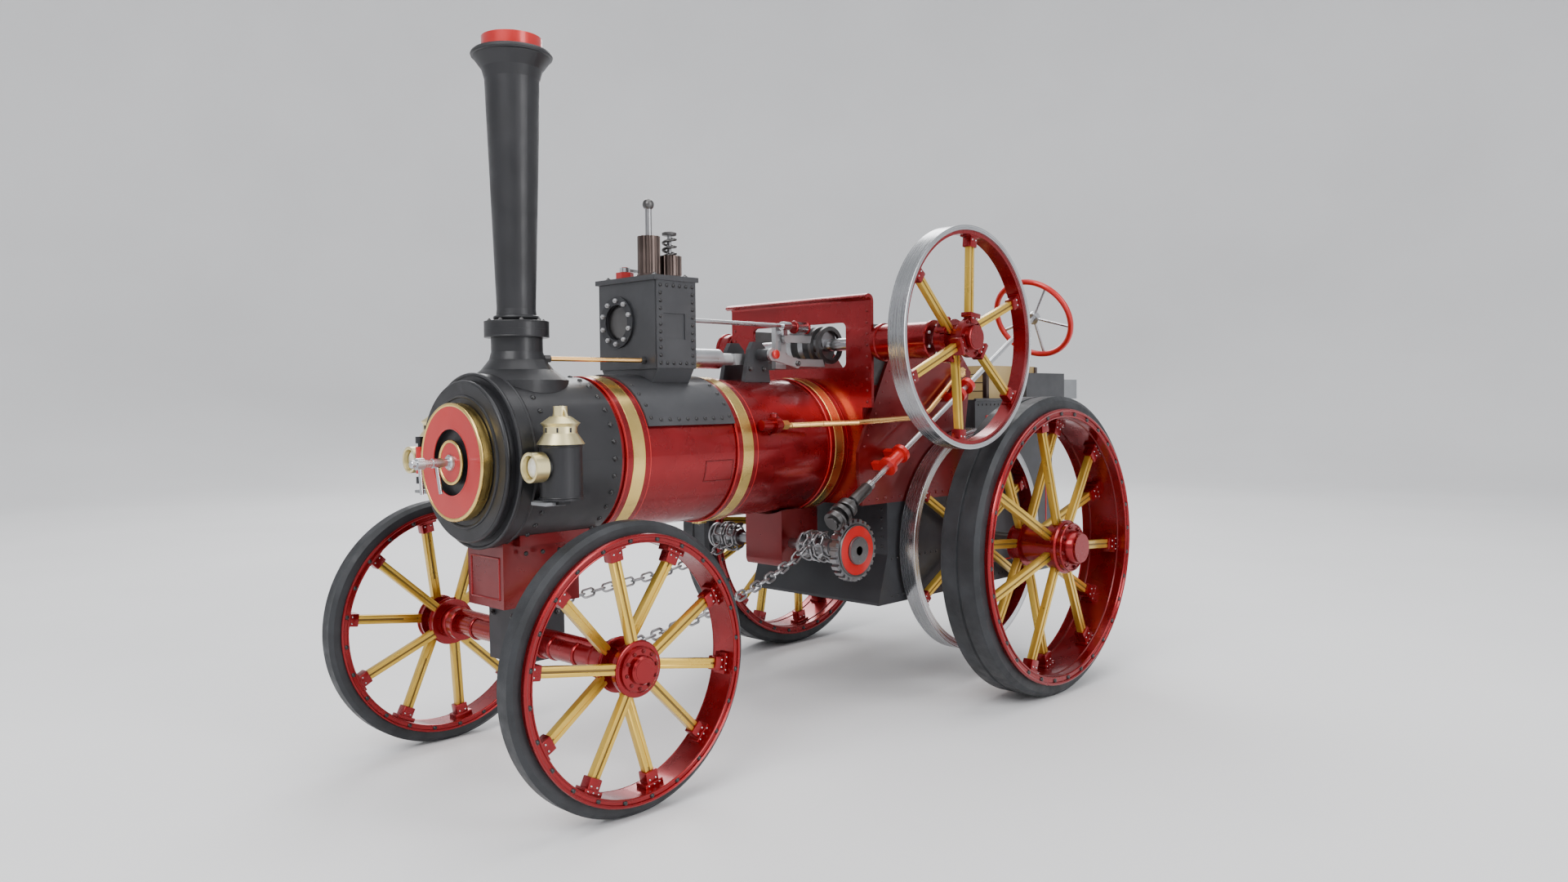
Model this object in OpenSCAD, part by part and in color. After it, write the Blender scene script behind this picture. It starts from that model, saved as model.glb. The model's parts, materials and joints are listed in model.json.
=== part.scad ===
// Model traction engine: an overhung-crank road engine on four spoked wheels.
// Lengths are in millimetres. Inside the modules, x runs across the engine from its
// centre plane, y runs backwards from the front axle and z runs up from the ground.
// place() then moves y so that the origin lies on the ground under the middle.

/* [Chassis] */
// Distance from the front axle to the rear axle
wheelbase = 276; // [260:1:320]
// Height of the boiler's centre line above the ground
boiler_z = 142.8; // [140:0.2:150]
// Distance from the centre plane to the outer face of each hornplate
horn_x = 49.6; // [47:0.2:49.8]
// Thickness of the hornplates and of the spectacle plate
plate_t = 2; // [1.5:0.1:2.4]

/* [Boiler] */
// Outer radius of the lagged boiler barrel
barrel_r = 36.3; // [33:0.1:38]
// Height of the bands above the lagging
band_h = 1.3; // [0.6:0.1:2]
// Width of the brass centre of each band
band_w = 6.2; // [3:0.1:7]
// Width of the red edge on each side of a band
band_edge_w = 3.9; // [2:0.1:4]

/* [Chimney] */
// Height of the chimney's top above the ground
chimney_top_z = 329.5; // [290:0.5:360]
// Radius of the flue inside the chimney
flue_r = 6.6; // [4:0.1:7]
// Radius of the chimney's rim
chimney_rim_r = 17.5; // [14:0.1:20]

/* [Front wheels] */
// Outer radius of a front tyre
front_r = 60; // [56:0.5:62]
// Distance from the centre plane to a front tyre's inner side
front_tyre_x = 69.9; // [69:0.1:74]
// Width of a front tyre
front_tyre_w = 9.6; // [8:0.1:12]
// Number of spokes in a front wheel
front_spokes = 10; // [8:2:12]

/* [Rear wheels] */
// Outer radius of a rear tyre
rear_r = 84.3; // [80:0.1:84.6]
// Distance from the centre plane to a rear tyre's inner side
rear_tyre_x = 90; // [88:0.5:100]
// Width of a rear tyre
rear_tyre_w = 24; // [20:0.5:30]
// Number of pairs of spokes in a rear wheel
rear_spoke_pairs = 7; // [6:1:8]

/* [Motion work] */
// Radius of the flywheel
fly_r = 56.2; // [48:0.2:57]
// Throw of the crank, half the stroke
crank_throw = 8; // [6:0.1:8.2]
// Length of the connecting rod between its eye centres
con_rod_len = 55; // [52:0.5:56]
// Radius of the crankshaft
shaft_r = 3.5; // [2.5:0.1:3.6]

/* [Steering] */
// Radius of the steering wheel to the middle of its ring
steer_wheel_r = 25.4; // [20:0.2:28]
// Slope of the steering column above the horizontal
column_deg = 30.2; // [28:0.2:32]
// Number of teeth on the worm wheel
worm_wheel_teeth = 24; // [18:1:30]

/* [Drawbar] */
// Radius of the bore for the towing pin
tow_bore_r = 2; // [1:0.1:3]

/* [Hidden] */
$fn = 64;

// clearances
fit_gap = 0.05;      // radial gap of a turning or sliding fit
seat_gap = 0.1;      // gap between pieces that are bolted face to face
part_gap = 0.3;      // gap between pieces of different bodies that pass each other
end_gap = 0.15;      // gap at the outer end of a loose spoke, over its lean

// fore and aft stations
rear_axle_y = wheelbase;
rear_axle_z = rear_r;
tender_rear_y = rear_axle_y + 102;
rear_end_y = tender_rear_y + 33;
front_end_y = -front_r;
mid_y = (front_end_y + rear_end_y) / 2;

// boiler and smokebox
band_r = barrel_r + band_h;
band_total_w = band_w + 2 * band_edge_w;
smokebox_r = barrel_r + 0.7;
smokebox_y0 = -19;
smokebox_y1 = 27;
plate_y = 182;                     // front face of the spectacle plate
plate_y1 = plate_y + plate_t;      // rear face of the spectacle plate
band_first_y = 29.4;
band_last_y = plate_y - 0.2 - band_total_w;
band_y = [band_first_y, (band_first_y + band_last_y) / 2, band_last_y];
boiler_top_z = boiler_z + band_r;

// smokebox door
door_y0 = -36.5;
door_y1 = -31.5;
door_r = 24;
door_ring_r = 25.4;
door_hinge = [-30.4, -34.2];
dart_r = 1.7;
dart_tip_y = -54.5;
lock_y0 = -52.5;

// chimney
chimney_y = -2.5;
flange_z = 200.8 + boiler_z - 142.8;
flange_r = 14.3;
flange_t = 3.6;
chimney_rim_z = chimney_top_z - 7.5;

// cylinder block
block_x = 21.8;
block_y0 = 59.6;
block_y1 = 85;
block_z0 = boiler_top_z + 3.4;
block_z1 = block_z0 + 42.2;
block_plate_t = 2.4;
block_top = block_z1 + block_plate_t;
cover_x = -6.7;
cover_z = block_z1 - 19;

// crank and motion
crank_y = plate_y + 7.4;
crank_z = boiler_z + 55.8;
piston_x = 0;
piston_z = crank_z - crank_throw - 0.6;
crank_pin_z = crank_z - crank_throw;
cross_y = crank_y - sqrt(con_rod_len * con_rod_len
                         - (crank_pin_z - piston_z) * (crank_pin_z - piston_z));
trunk_r = 5.2;
piston_rod_r = 3.2;
rod_half_t = 2;
web_x0 = rod_half_t + part_gap + 0.4;
web_x1 = web_x0 + 3.6;
web_r = 10.5;
crank_eye_r = 3.6;
window_x = 36;
window_z0 = crank_z - 13.2;
window_z1 = crank_z + 11.5;
lip_z = crank_z + 25;

// valve gear
valve_x = 14;
valve_z = crank_z + 9.7;
link_x0 = 6.4;
link_x1 = 9.4;
link_y = crank_y - 32;
link_top_z = valve_z - 3.5;
link_pin_z = [crank_z + 3, crank_z - 10.2];
ecc_rod_x = [10.6, 16.5];
ecc_rod_t = 2;
ecc_disc_x0 = ecc_rod_x[0] + ecc_rod_t + part_gap;
ecc_disc_x1 = ecc_rod_x[1] - part_gap;
ecc_r = 6;
ecc_throw = 3;
strap_r = 10.6;
arm_x0 = ecc_rod_x[1] + ecc_rod_t + 0.6;
arm_y = crank_y - 48.5;
arm_z = crank_z - 6.3;

// bearings of the crankshaft
bearing_x0 = 42;
housing_r = 9.5;
housing_x0 = 54.3;
housing_x1 = 91;
far_housing_x1 = 66;
fly_x0 = 103.7;
fly_x1 = 113.3;
fly_mid_x = (fly_x0 + fly_x1) / 2;

// firebox, tank and tender
firebox_y1 = rear_axle_y - 14;
tank_y0 = rear_axle_y - 75;
tank_y1 = rear_axle_y + 11;
tank_z0 = 54;
tank_z1 = boiler_z - 32.2;
tender_z1 = tank_z1 + 56.4;
body_x = horn_x - 0.5;
locker_x = body_x - 9;
locker_z = boiler_z + 45.7;
coping_z = boiler_z + 41.2;

// steering
column_x = 60;
worm_wheel_r = 16.3;
worm_r = 6;
barrel_y = plate_y - 21.2;
barrel_z = boiler_z - 53.4;
worm_gap = 0.7;
worm_dist = worm_wheel_r + worm_r + worm_gap;
worm_y = barrel_y - worm_dist * sin(column_deg);
worm_z = barrel_z + worm_dist * cos(column_deg);
column_len = 216;
column_r = 1.5;
tube_s0 = 44;
tube_s1 = 59;
upper_tube_s = 120;
barrel_shaft_r = 2.7;
drum_r = 4.6;

// front axle
axle_z = front_r;
axle_r = 5;
spindle_r = 3;
pivot_z0 = axle_z + 6.6;
pivot_z1 = pivot_z0 + 12;
hook_x = 52;
hook_y = 9;
hook_z = axle_z + 1;
perch_x = 14.4;
perch_y0 = -20.7;
perch_y1 = 18.7;

// rims and hubs
front_rim_r = front_r - 5.3;
front_rim_in_r = front_rim_r - 3.2;
front_rim_x0 = front_tyre_x - 1;
front_rim_x1 = front_tyre_x + front_tyre_w + 2.5;
front_mid_x = (front_rim_x0 + front_rim_x1) / 2;
front_hub_x0 = front_rim_x0 - 5;
front_hub_x1 = front_rim_x1 + 2.6;
front_spoke_deg = 10;
rear_rim_r = rear_r - 7.2;
rear_rim_in_r = rear_rim_r - 4.2;
rear_rim_x0 = rear_tyre_x - 2;
rear_rim_x1 = rear_tyre_x + rear_tyre_w + 2.2;
rear_mid_x = (rear_rim_x0 + rear_rim_x1) / 2;
rear_hub_x1 = rear_rim_x1 + 10.8;
rear_shaft_r = 5;
final_x0 = horn_x + 1;
final_x1 = final_x0 + 9.6;
final_r = 66;
lamp_x = 49.5;
lamp_y = -14.4;
lamp_z0 = boiler_z - 14.8;
lamp_h = 23;
lamp_r = 8.7;
lens_z = boiler_z - 0.8;

// points of one steering chain, from the top or the bottom of its drum to its hook
chain_r = 1.7;
function chain_points(top) = [
    [34, barrel_y - 4, barrel_z + 5.2 * top], [36, 140, 82 + 3 * top], [38.5, 120, 76.5 + 2 * top],
    [41, 100, 72.5 + top], [43.5, 80, 69.5], [46, 60, 66.5], [48, 42, 64.5],
    [50, 26, 63], [hook_x, hook_y + 4.7, hook_z]
];

// ---- helpers ----

module place() {
    translate([0, -mid_y, 0]) children();
}

module box(x0, x1, y0, y1, z0, z1) {
    translate([x0, y0, z0]) cube([x1 - x0, y1 - y0, z1 - z0]);
}

// solid rods along one axis, from the lower end
module rod_x(x0, x1, y, z, r) {
    translate([x0, y, z]) rotate([0, 90, 0]) cylinder(h = x1 - x0, r = r);
}

module rod_y(y0, y1, x, z, r) {
    translate([x, y0, z]) rotate([-90, 0, 0]) cylinder(h = y1 - y0, r = r);
}

module rod_z(z0, z1, x, y, r) {
    translate([x, y, z0]) cylinder(h = z1 - z0, r = r);
}

// both sides of the engine
module both() {
    children();
    mirror([1, 0, 0]) children();
}

// the smokebox with its front ring, grown by gap
module smokebox_space(gap) {
    rod_y(-60, smokebox_y1 + 20, 0, boiler_z, smokebox_r + gap);
    rod_y(-60, smokebox_y0 + 1 + gap, 0, boiler_z, smokebox_r + 1.2 + gap);
}

// a profile of [radius, distance] points turned about a line along x, at y and z
module turned_x(y, z) {
    translate([0, y, z]) rotate([0, 90, 0]) rotate_extrude() children();
}

// a profile of [y, z] points made into a sheet from x0 to x1
module side_sheet(x0, x1, points) {
    translate([x0, 0, 0]) rotate([90, 0, 90]) linear_extrude(x1 - x0) polygon(points);
}

// a straight round bar between two points
module bar(a, b, r) {
    d = b - a;
    l = norm(d);
    translate(a) rotate([0, acos(d[2] / l), atan2(d[1], d[0])]) cylinder(h = l, r = r);
}

// a round pipe through a list of points, with ball bends
module pipe(points, r) {
    for (i = [0 : len(points) - 2]) bar(points[i], points[i + 1], r);
    for (i = [1 : len(points) - 2]) translate(points[i]) sphere(r = r * 1.03);
}

// moves a shape drawn along +z onto the steering column
module on_column(s) {
    translate([column_x, worm_y + s * cos(column_deg), worm_z + s * sin(column_deg)])
        rotate([column_deg - 90, 0, 0]) children();
}

// one wheel's spokes: flat bars from the hub's flange at x_hub to the rim at x_rim
module spokes(n, start_deg, r0, r1, x_hub, x_rim, w, t) {
    for (i = [0 : n - 1]) rotate([start_deg + i * 360 / n, 0, 0])
        spoke(r0, r1, x_hub[i % len(x_hub)], x_rim, w, t);
}

module spoke(r0, r1, xa, xb, w, t) {
    lean = atan2(xb - xa, r1 - r0);
    l = norm([xb - xa, r1 - r0]);
    translate([xa, 0, r0]) rotate([0, lean, 0]) translate([-t / 2, -w / 2, 0])
        cube([t, w, l]);
}

// a spoked wheel's red clamps on the inside of its rim
module clamps(n, start_deg, r0, r1, x_mid, t, w) {
    for (i = [0 : n - 1]) rotate([start_deg + i * 360 / n, 0, 0])
        translate([x_mid - t / 2, -w / 2, r0]) cube([t, w, r1 - r0]);
}

// ---- smokebox and chimney ----

module smokebox() color("#2c2c30") place() {
    difference() {
        union() {
            rod_y(smokebox_y0, smokebox_y1, 0, boiler_z, smokebox_r);
            rod_y(-26, smokebox_y0 + 1, 0, boiler_z, smokebox_r + 1.2);
            rod_y(-31, -25, 0, boiler_z, smokebox_r - 2.6);
            for (z = [boiler_z - 9, boiler_z + 9])
                box(door_hinge[0] - 2, door_hinge[0] + 2, door_hinge[1] - 1, -30.5, z - 1.5, z + 1.5);
            for (z = [boiler_z - 9, boiler_z + 9])
                rod_z(z - 1.5, z + 1.5, door_hinge[0], door_hinge[1], 2);
        }
        rod_y(-40, smokebox_y1 - 3, 0, boiler_z, door_r - 3);
        translate([0, 0, boiler_z]) rod_z(0, smokebox_r + 3, 0, chimney_y, flue_r);
        rod_z(boiler_z - 12, boiler_z + 12, door_hinge[0], door_hinge[1], 1 + fit_gap);
    }
    rod_z(boiler_z - 10.5, boiler_z + 10.5, door_hinge[0], door_hinge[1], 1);
}

module door_plate() color("#b81418") place() {
    difference() {
        union() {
            rod_y(door_y0, door_y1, 0, boiler_z, door_r);
            box(door_hinge[0], -20, door_y0 + 1.2, door_y1 - 0.6, boiler_z - 4, boiler_z + 4);
            rod_z(boiler_z - 6, boiler_z + 6, door_hinge[0], door_hinge[1], 2);
        }
        difference() {
            rod_y(door_y0 - 1, door_y0 + 2.6, 0, boiler_z, 14.9);
            rod_y(door_y0 - 2, door_y0 + 3, 0, boiler_z, 9);
        }
        rod_y(door_y0 - 1, door_y1 + 1, 0, boiler_z, dart_r + fit_gap);
        rod_z(boiler_z - 7, boiler_z + 7, door_hinge[0], door_hinge[1], 1 + fit_gap);
    }
}

module door_ring() color("#c9a63c") place() difference() {
    rod_y(door_y0 + 0.4, door_y1, 0, boiler_z, door_ring_r);
    rod_y(door_y0, door_y1 + 1, 0, boiler_z, door_r);
    box(-door_ring_r - 1, -door_r + 2, door_y0 + 1, door_y1 - 0.4, boiler_z - 4.2, boiler_z + 4.2);
}

module dart_handle() color("#b8babd") place() {
    rod_y(dart_tip_y, door_y1 + 4, 0, boiler_z, dart_r);
    rod_y(door_y0 - 8.6, door_y0 - 4.4, 0, boiler_z, 2.1);
    bar([0, door_y0 - 6.5, boiler_z - 1], [3.2, door_y0 - 6.5, boiler_z - 13], 0.8);
    box(-1.4, 1.4, door_y1 + 1, door_y1 + 3.4, boiler_z - 10, boiler_z + 10);
}

module lock_handle() color("#b8babd") place() {
    difference() {
        rod_y(lock_y0, lock_y0 + 3.4, 0, boiler_z, 2.5);
        rod_y(lock_y0 - 1, lock_y0 + 5, 0, boiler_z, dart_r + fit_gap);
    }
    bar([0.4, lock_y0 + 1.7, boiler_z - 2.2], [1.6, lock_y0 + 1.7, boiler_z - 12.8], 0.8);
}

module chimney() color("#2c2c30") place() translate([0, chimney_y, 0]) difference() {
    rotate_extrude() polygon([
        [0, flange_z], [flange_r, flange_z], [flange_r, flange_z + flange_t],
        [9.2, flange_z + flange_t], [8.6, flange_z + 9], [12.1, chimney_rim_z - 11],
        [13.3, chimney_rim_z - 6.5], [chimney_rim_r - 0.6, chimney_rim_z - 1.6],
        [chimney_rim_r, chimney_rim_z], [chimney_rim_r - 0.8, chimney_rim_z + 1.4],
        [chimney_rim_r - 2.6, chimney_rim_z + 2], [0, chimney_rim_z + 2]
    ]);
    rod_z(flange_z - 1, chimney_rim_z + 3, 0, 0, flue_r);
}

module chimney_cap() color("#b81418") place() translate([0, chimney_y, 0]) difference() {
    rod_z(chimney_rim_z + 2, chimney_top_z, 0, 0, chimney_rim_r - 4.3);
    rod_z(chimney_rim_z + 1, chimney_top_z + 1, 0, 0, chimney_rim_r - 7.5);
}

module chimney_saddle() color("#2c2c30") place() difference() {
    translate([0, chimney_y, 0]) rotate_extrude() polygon([
        [0, boiler_z + 20], [23, boiler_z + 20], [22.6, boiler_z + 35.2],
        [16, boiler_z + 40], [12.4, boiler_z + 44.5], [11.4, boiler_z + 48],
        [11.4, flange_z - flange_t], [flange_r, flange_z - flange_t],
        [flange_r, flange_z - 0.02], [0, flange_z - 0.02]
    ]);
    smokebox_space(seat_gap);
    rod_z(boiler_z, flange_z + 1, 0, chimney_y, flue_r);
    blower_bar(1.15);
}

// ---- boiler ----

module boiler_barrel() color("#b81418") place() {
    rod_y(smokebox_y1 + 0.05, plate_y - 0.05, 0, boiler_z, barrel_r);
    for (y = band_y) {
        rod_y(y, y + band_edge_w, 0, boiler_z, band_r - 0.15);
        rod_y(y + band_edge_w + band_w, y + band_total_w, 0, boiler_z, band_r - 0.15);
    }
}

module boiler_bands() color("#c9a63c") place() for (y = band_y) difference() {
    rod_y(y + band_edge_w + 0.02, y + band_edge_w + band_w - 0.02, 0, boiler_z, band_r);
    rod_y(y, y + band_total_w, 0, boiler_z, barrel_r + 0.02);
}

module lamp_bodies() color("#2a2a2e") place() both() {
    difference() {
        union() {
            rod_z(lamp_z0, lamp_z0 + lamp_h, lamp_x, lamp_y, lamp_r);
            rod_y(lamp_y - 12, lamp_y, lamp_x, lens_z, 4.8);
        }
        rod_y(lamp_y - 13, lamp_y - 9, lamp_x, lens_z, 3.4);
    }
    difference() {
        box(28, lamp_x + 2, lamp_y - 2.8, lamp_y + 3, lamp_z0 - 2, lamp_z0 + 0.1);
        smokebox_space(seat_gap);
    }
}

module lamp_tops() color("#d3bf72") place() both() {
    translate([lamp_x, lamp_y, lamp_z0 + lamp_h + 0.02]) rotate_extrude() polygon([
        [0, 0], [9.9, 0], [7, 4.4], [7, 7.2], [8.1, 8.6], [4.2, 11.4], [2.9, 11.4],
        [2.9, 15.6], [0, 15.6]
    ]);
    difference() {
        rod_y(lamp_y - 15.4, lamp_y - 9.4, lamp_x, lens_z, 6.2);
        rod_y(lamp_y - 16, lamp_y - 13.4, lamp_x, lens_z, 4.7);
        rod_y(lamp_y - 17, lamp_y - 9, lamp_x, lens_z, 4.85);
    }
}

// ---- cylinder ----

module cylinder_saddle() color("#55565c") place() intersection() {
    difference() {
        rod_y(43.6, band_y[1] - 0.3, 0, boiler_z, band_r + 0.8);
        rod_y(40, band_y[1] + 1, 0, boiler_z, barrel_r + 0.02);
    }
    box(-35.6, 35.6, 40, band_y[1] + 1, boiler_z + 14, boiler_z + 50);
}

module cylinder_block() color("#2a2a2d") place() difference() {
    union() {
        box(-block_x, block_x, block_y0, block_y1, block_z0, block_z1);
        intersection() {
            translate([0, block_y0, 0]) rotate([-90, 0, 0]) linear_extrude(block_y1 - block_y0)
                polygon([
                    [-block_x, -block_z0], [block_x, -block_z0], [15, -boiler_z - 30],
                    [-15, -boiler_z - 30]
                ]);
            box(-block_x, block_x, block_y0 + 1.2, block_y1 - 1.2, boiler_z, block_z0 + 0.01);
        }
        box(-block_x - 1.3, block_x + 1.3, block_y0 - 1.3, block_y1 + 1.3, block_z1, block_top);
        box(block_x - 0.5, block_x + 0.8, block_y0 + 0.3, block_y1 - 0.3, block_z0 + 0.4, block_z1);
    }
    rod_y(40, 100, 0, boiler_z, band_r + 0.8 + seat_gap);
    rod_y(block_y0 - 1, block_y0 + 1.6, cover_x, cover_z, 8.6);
    rod_y(block_y0 + 2, block_y1 + 1, piston_x, piston_z, piston_rod_r + 1);
    rod_y(block_y0 + 6, block_y1 + 1, valve_x, valve_z, 1.1 + fit_gap);
    box(block_x + 0.2, block_x + 2, block_y0 + 4.6, block_y0 + 18, cover_z - 9, cover_z + 3.4);
    blower_bar(1.15);
}

module cylinder_cover() color("#3a3a3e") place() difference() {
    rod_y(block_y0 - 1.2, block_y0 - 0.02, cover_x, cover_z, 12.6);
    rod_y(block_y0 - 2, block_y0 + 1, cover_x, cover_z, 8.6);
}

module blower_bar(r) bar([6.5, 5.5, block_z0 + 4], [14, block_y0 + 3.6, block_z0 + 4], r);

module blower_pipe() color("#c77b3a") place() blower_bar(1.1);

turret_x = 10;
turret_y = [66, 79];
turret_r = [5.5, 6];
turret_h = [19.6, 11];

module valve_turrets() color("#3b3230") place() for (i = [0, 1]) difference() {
    rod_z(block_top + 0.02, block_top + turret_h[i], turret_x, turret_y[i], turret_r[i]);
    for (a = [0 : 30 : 330]) translate([turret_x, turret_y[i], 0]) rotate([0, 0, a])
        rod_z(block_top - 1, block_top + 30, turret_r[i] + 0.3, 0, 0.9);
    rod_z(block_top + 4, block_top + 30, turret_x, turret_y[i], 1.6 + fit_gap);
}

module lift_rod() color("#8f8a86") place() {
    rod_z(block_top + 6, block_top + 34, turret_x, turret_y[0], 1.6);
    translate([turret_x, turret_y[0], block_top + 35]) sphere(r = 2.8);
}

module valve_spring() color("#4a4240") place() {
    z0 = block_top + turret_h[1] + 0.05;
    rod_z(block_top + 5, z0 + 11.4, turret_x, turret_y[1], 1.5);
    for (i = [0 : 3]) rod_z(z0 + i * 2.5, z0 + i * 2.5 + 1.3, turret_x, turret_y[1], 3.7);
    rod_z(z0 + 9.8, z0 + 12, turret_x, turret_y[1], 3.9);
}

fitting_x = -9;
fitting_y = 66;
module regulator_fitting() color("#b81418") place() {
    translate([fitting_x, fitting_y, block_top + 0.02]) cylinder(h = 3.6, r = 4.4, $fn = 6);
    rod_z(block_top + 3, block_top + 6.4, fitting_x, fitting_y, 1.4);
}

module regulator_lever() color("#b8babd") place() difference() {
    union() {
        rod_z(block_top + 3.9, block_top + 6, fitting_x, fitting_y, 2.6);
        box(fitting_x - 1.1, fitting_x + 1.1, fitting_y, fitting_y + 17, block_top + 4.2, block_top + 5.6);
        rod_z(block_top + 3.9, block_top + 6, fitting_x, fitting_y + 17, 2.3);
    }
    rod_z(block_top, block_top + 10, fitting_x, fitting_y, 1.4 + fit_gap);
    rod_z(block_top, block_top + 10, fitting_x, fitting_y + 17, 1.2);
}

// ---- motion ----

module trunk_guide() color("#c9cbce") place() difference() {
    rod_y(block_y1 + 0.05, cross_y - 6.6 - crank_throw, piston_x, piston_z, trunk_r);
    rod_y(block_y1 - 1, cross_y, piston_x, piston_z, piston_rod_r + fit_gap);
}

module crosshead() color("#b8babd") place() {
    rod_y(block_y1 - 8, cross_y - 4.2, piston_x, piston_z, piston_rod_r);
    for (s = [-1, 1]) box(s * 3.6 - 1, s * 3.6 + 1, cross_y - 5.6, cross_y + 3, piston_z - 3, piston_z + 3);
    box(-4.6, 4.6, cross_y - 5.8, cross_y - 4.1, piston_z - 3, piston_z + 3);
    rod_x(-4.6, 4.6, cross_y, piston_z, 1.5);
}

module connecting_rod() color("#b8babd") place() difference() {
    union() {
        rod_x(-rod_half_t, rod_half_t, cross_y, piston_z, 3.2);
        rod_x(-rod_half_t, rod_half_t, crank_y, crank_pin_z, crank_eye_r);
        side_sheet(-1.4, 1.4, [
            [cross_y + 1, piston_z - 1.5], [crank_y - 2, crank_pin_z - 1.9],
            [crank_y - 2, crank_pin_z + 1.9], [cross_y + 1, piston_z + 1.5]
        ]);
    }
    rod_x(-5, 5, cross_y, piston_z, 1.5 + fit_gap);
    rod_x(-5, 5, crank_y, crank_pin_z, 2);
}

module crankshaft() color("#9a9c9f") place() {
    rod_x(web_x0, web_x1, crank_y, crank_z, web_r);
    rod_x(web_x0 - 0.4, web_x0 + 1, crank_y, crank_pin_z, 1.9);
    rod_x(web_x1 - 1, fly_mid_x, crank_y, crank_z, shaft_r);
    rod_x(-web_x1, -web_x0, crank_y, crank_z, web_r);
    rod_x(-web_x0 - 1, -web_x0 + 0.4, crank_y, crank_pin_z, 1.9);
    rod_x(-far_housing_x1 + 2, -web_x1 + 1, crank_y, crank_z, shaft_r);
    for (i = [0, 1]) rotate_about_crank(i * 140 - 70) rod_x(
        i == 0 ? ecc_disc_x0 : (ecc_disc_x0 + ecc_disc_x1) / 2 + 0.05,
        i == 0 ? (ecc_disc_x0 + ecc_disc_x1) / 2 - 0.05 : ecc_disc_x1,
        crank_y + ecc_throw, crank_z, ecc_r);
}

module rotate_about_crank(a) {
    translate([0, crank_y, crank_z]) rotate([a, 0, 0]) translate([0, -crank_y, -crank_z]) children();
}

module flywheel_rim() color("#a9abae") place() difference() {
    rod_x(fly_x0, fly_x1, crank_y, crank_z, fly_r);
    rod_x(fly_x0 - 1, fly_x1 + 1, crank_y, crank_z, fly_r - 2.4);
}

fly_spoke_deg = 114;
module flywheel_wheel() color("#a01216") place() {
    difference() {
        rod_x(fly_x0 + 1, fly_x1 - 1, crank_y, crank_z, fly_r - 2.42);
        rod_x(fly_x0 - 1, fly_x1 + 1, crank_y, crank_z, fly_r - 4.2);
    }
    translate([0, crank_y, crank_z]) clamps(6, fly_spoke_deg, fly_r - 9.6, fly_r - 4, fly_mid_x, 5, 5);
    difference() {
        union() {
            rod_x(housing_x1 + 3, fly_x1 - 3, crank_y, crank_z, 7);
            rod_x(fly_x1 - 3.2, fly_x1 - 0.2, crank_y, crank_z, 10);
            rod_x(fly_x1 - 0.4, fly_x1 + 3.2, crank_y, crank_z, 5.7);
            rod_x(fly_x0 - 3.4, fly_x0 - 0.6, crank_y, crank_z, 10);
        }
        rod_x(housing_x1, fly_mid_x + 0.02, crank_y, crank_z, shaft_r + 0.02);
    }
}

module flywheel_spokes() color("#cfa92e") place() translate([0, crank_y, crank_z]) difference() {
    spokes(6, fly_spoke_deg, 6, fly_r - 9.6 - end_gap, [fly_x1 - 4.6, fly_x0 + 0.8], fly_mid_x, 3.6, 2.4);
    rod_x(fly_x0 - 9, fly_x1 + 9, 0, 0, 7.02);
    for (x = [fly_x1 - 3.25, fly_x0 - 3.45]) rod_x(x, x + 3.1, 0, 0, 10.05);
}

module valve_rod() color("#b8babd") place() {
    rod_y(block_y0 + 12, link_y + 6, valve_x, valve_z, 1.1);
    rod_y(link_y + 6, link_y + 17, valve_x, valve_z - 0.4, 3.1);
    rod_y(link_y - 3, link_y + 3, valve_x, valve_z, 2.3);
    rod_x(link_x0 - 0.6, valve_x, link_y, link_top_z, 1.2);
    box(valve_x - 1.1, valve_x, link_y - 1.6, link_y + 1.6, link_top_z - 1.6, valve_z);
}

module expansion_link() color("#c9cbce") place() {
    difference() {
        union() {
            side_sheet(link_x0, link_x1, [
                [link_y - 3, link_pin_z[1] - 3.2], [link_y + 5, link_pin_z[1] - 3.2],
                [link_y + 5.4, link_pin_z[0] + 3], [link_y + 3, link_top_z + 2.8],
                [link_y - 3, link_top_z + 2.8]
            ]);
        }
        rod_x(link_x0 - 1, link_x1 + 1, link_y, link_top_z, 1.2 + fit_gap);
        box(link_x0 - 1, link_x1 + 1, link_y - 1.2, link_y + 1.2, link_pin_z[1] + 1, link_top_z - 4.5);
    }
    rod_x(link_x1 - 1, ecc_rod_x[0] + ecc_rod_t, link_y + 3.2, link_pin_z[0], 1.1);
    rod_x(link_x1 - 1, ecc_rod_x[1] + ecc_rod_t, link_y + 3.2, link_pin_z[1], 1.1);
}

// one eccentric rod with its open strap beside the eccentric
module eccentric_rod(i) color("#c9cbce") place() difference() {
    union() {
        rod_x(ecc_rod_x[i], ecc_rod_x[i] + ecc_rod_t, link_y + 3.2, link_pin_z[i], 2.6);
        box(ecc_rod_x[i], ecc_rod_x[i] + ecc_rod_t, link_y + 3.2, crank_y - 5,
            link_pin_z[i] - 2, link_pin_z[i] + 2);
        rod_x(ecc_rod_x[i], ecc_rod_x[i] + ecc_rod_t, crank_y, crank_z, strap_r);
    }
    rod_x(ecc_rod_x[i] - 1, ecc_rod_x[i] + 4, link_y + 3.2, link_pin_z[i], 1.1 + fit_gap);
    rod_x(ecc_rod_x[i] - 1, ecc_rod_x[i] + 4, crank_y, crank_z, strap_r - 2.4);
}

module eccentric_rod_upper() eccentric_rod(0);

module eccentric_rod_lower() eccentric_rod(1);

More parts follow.
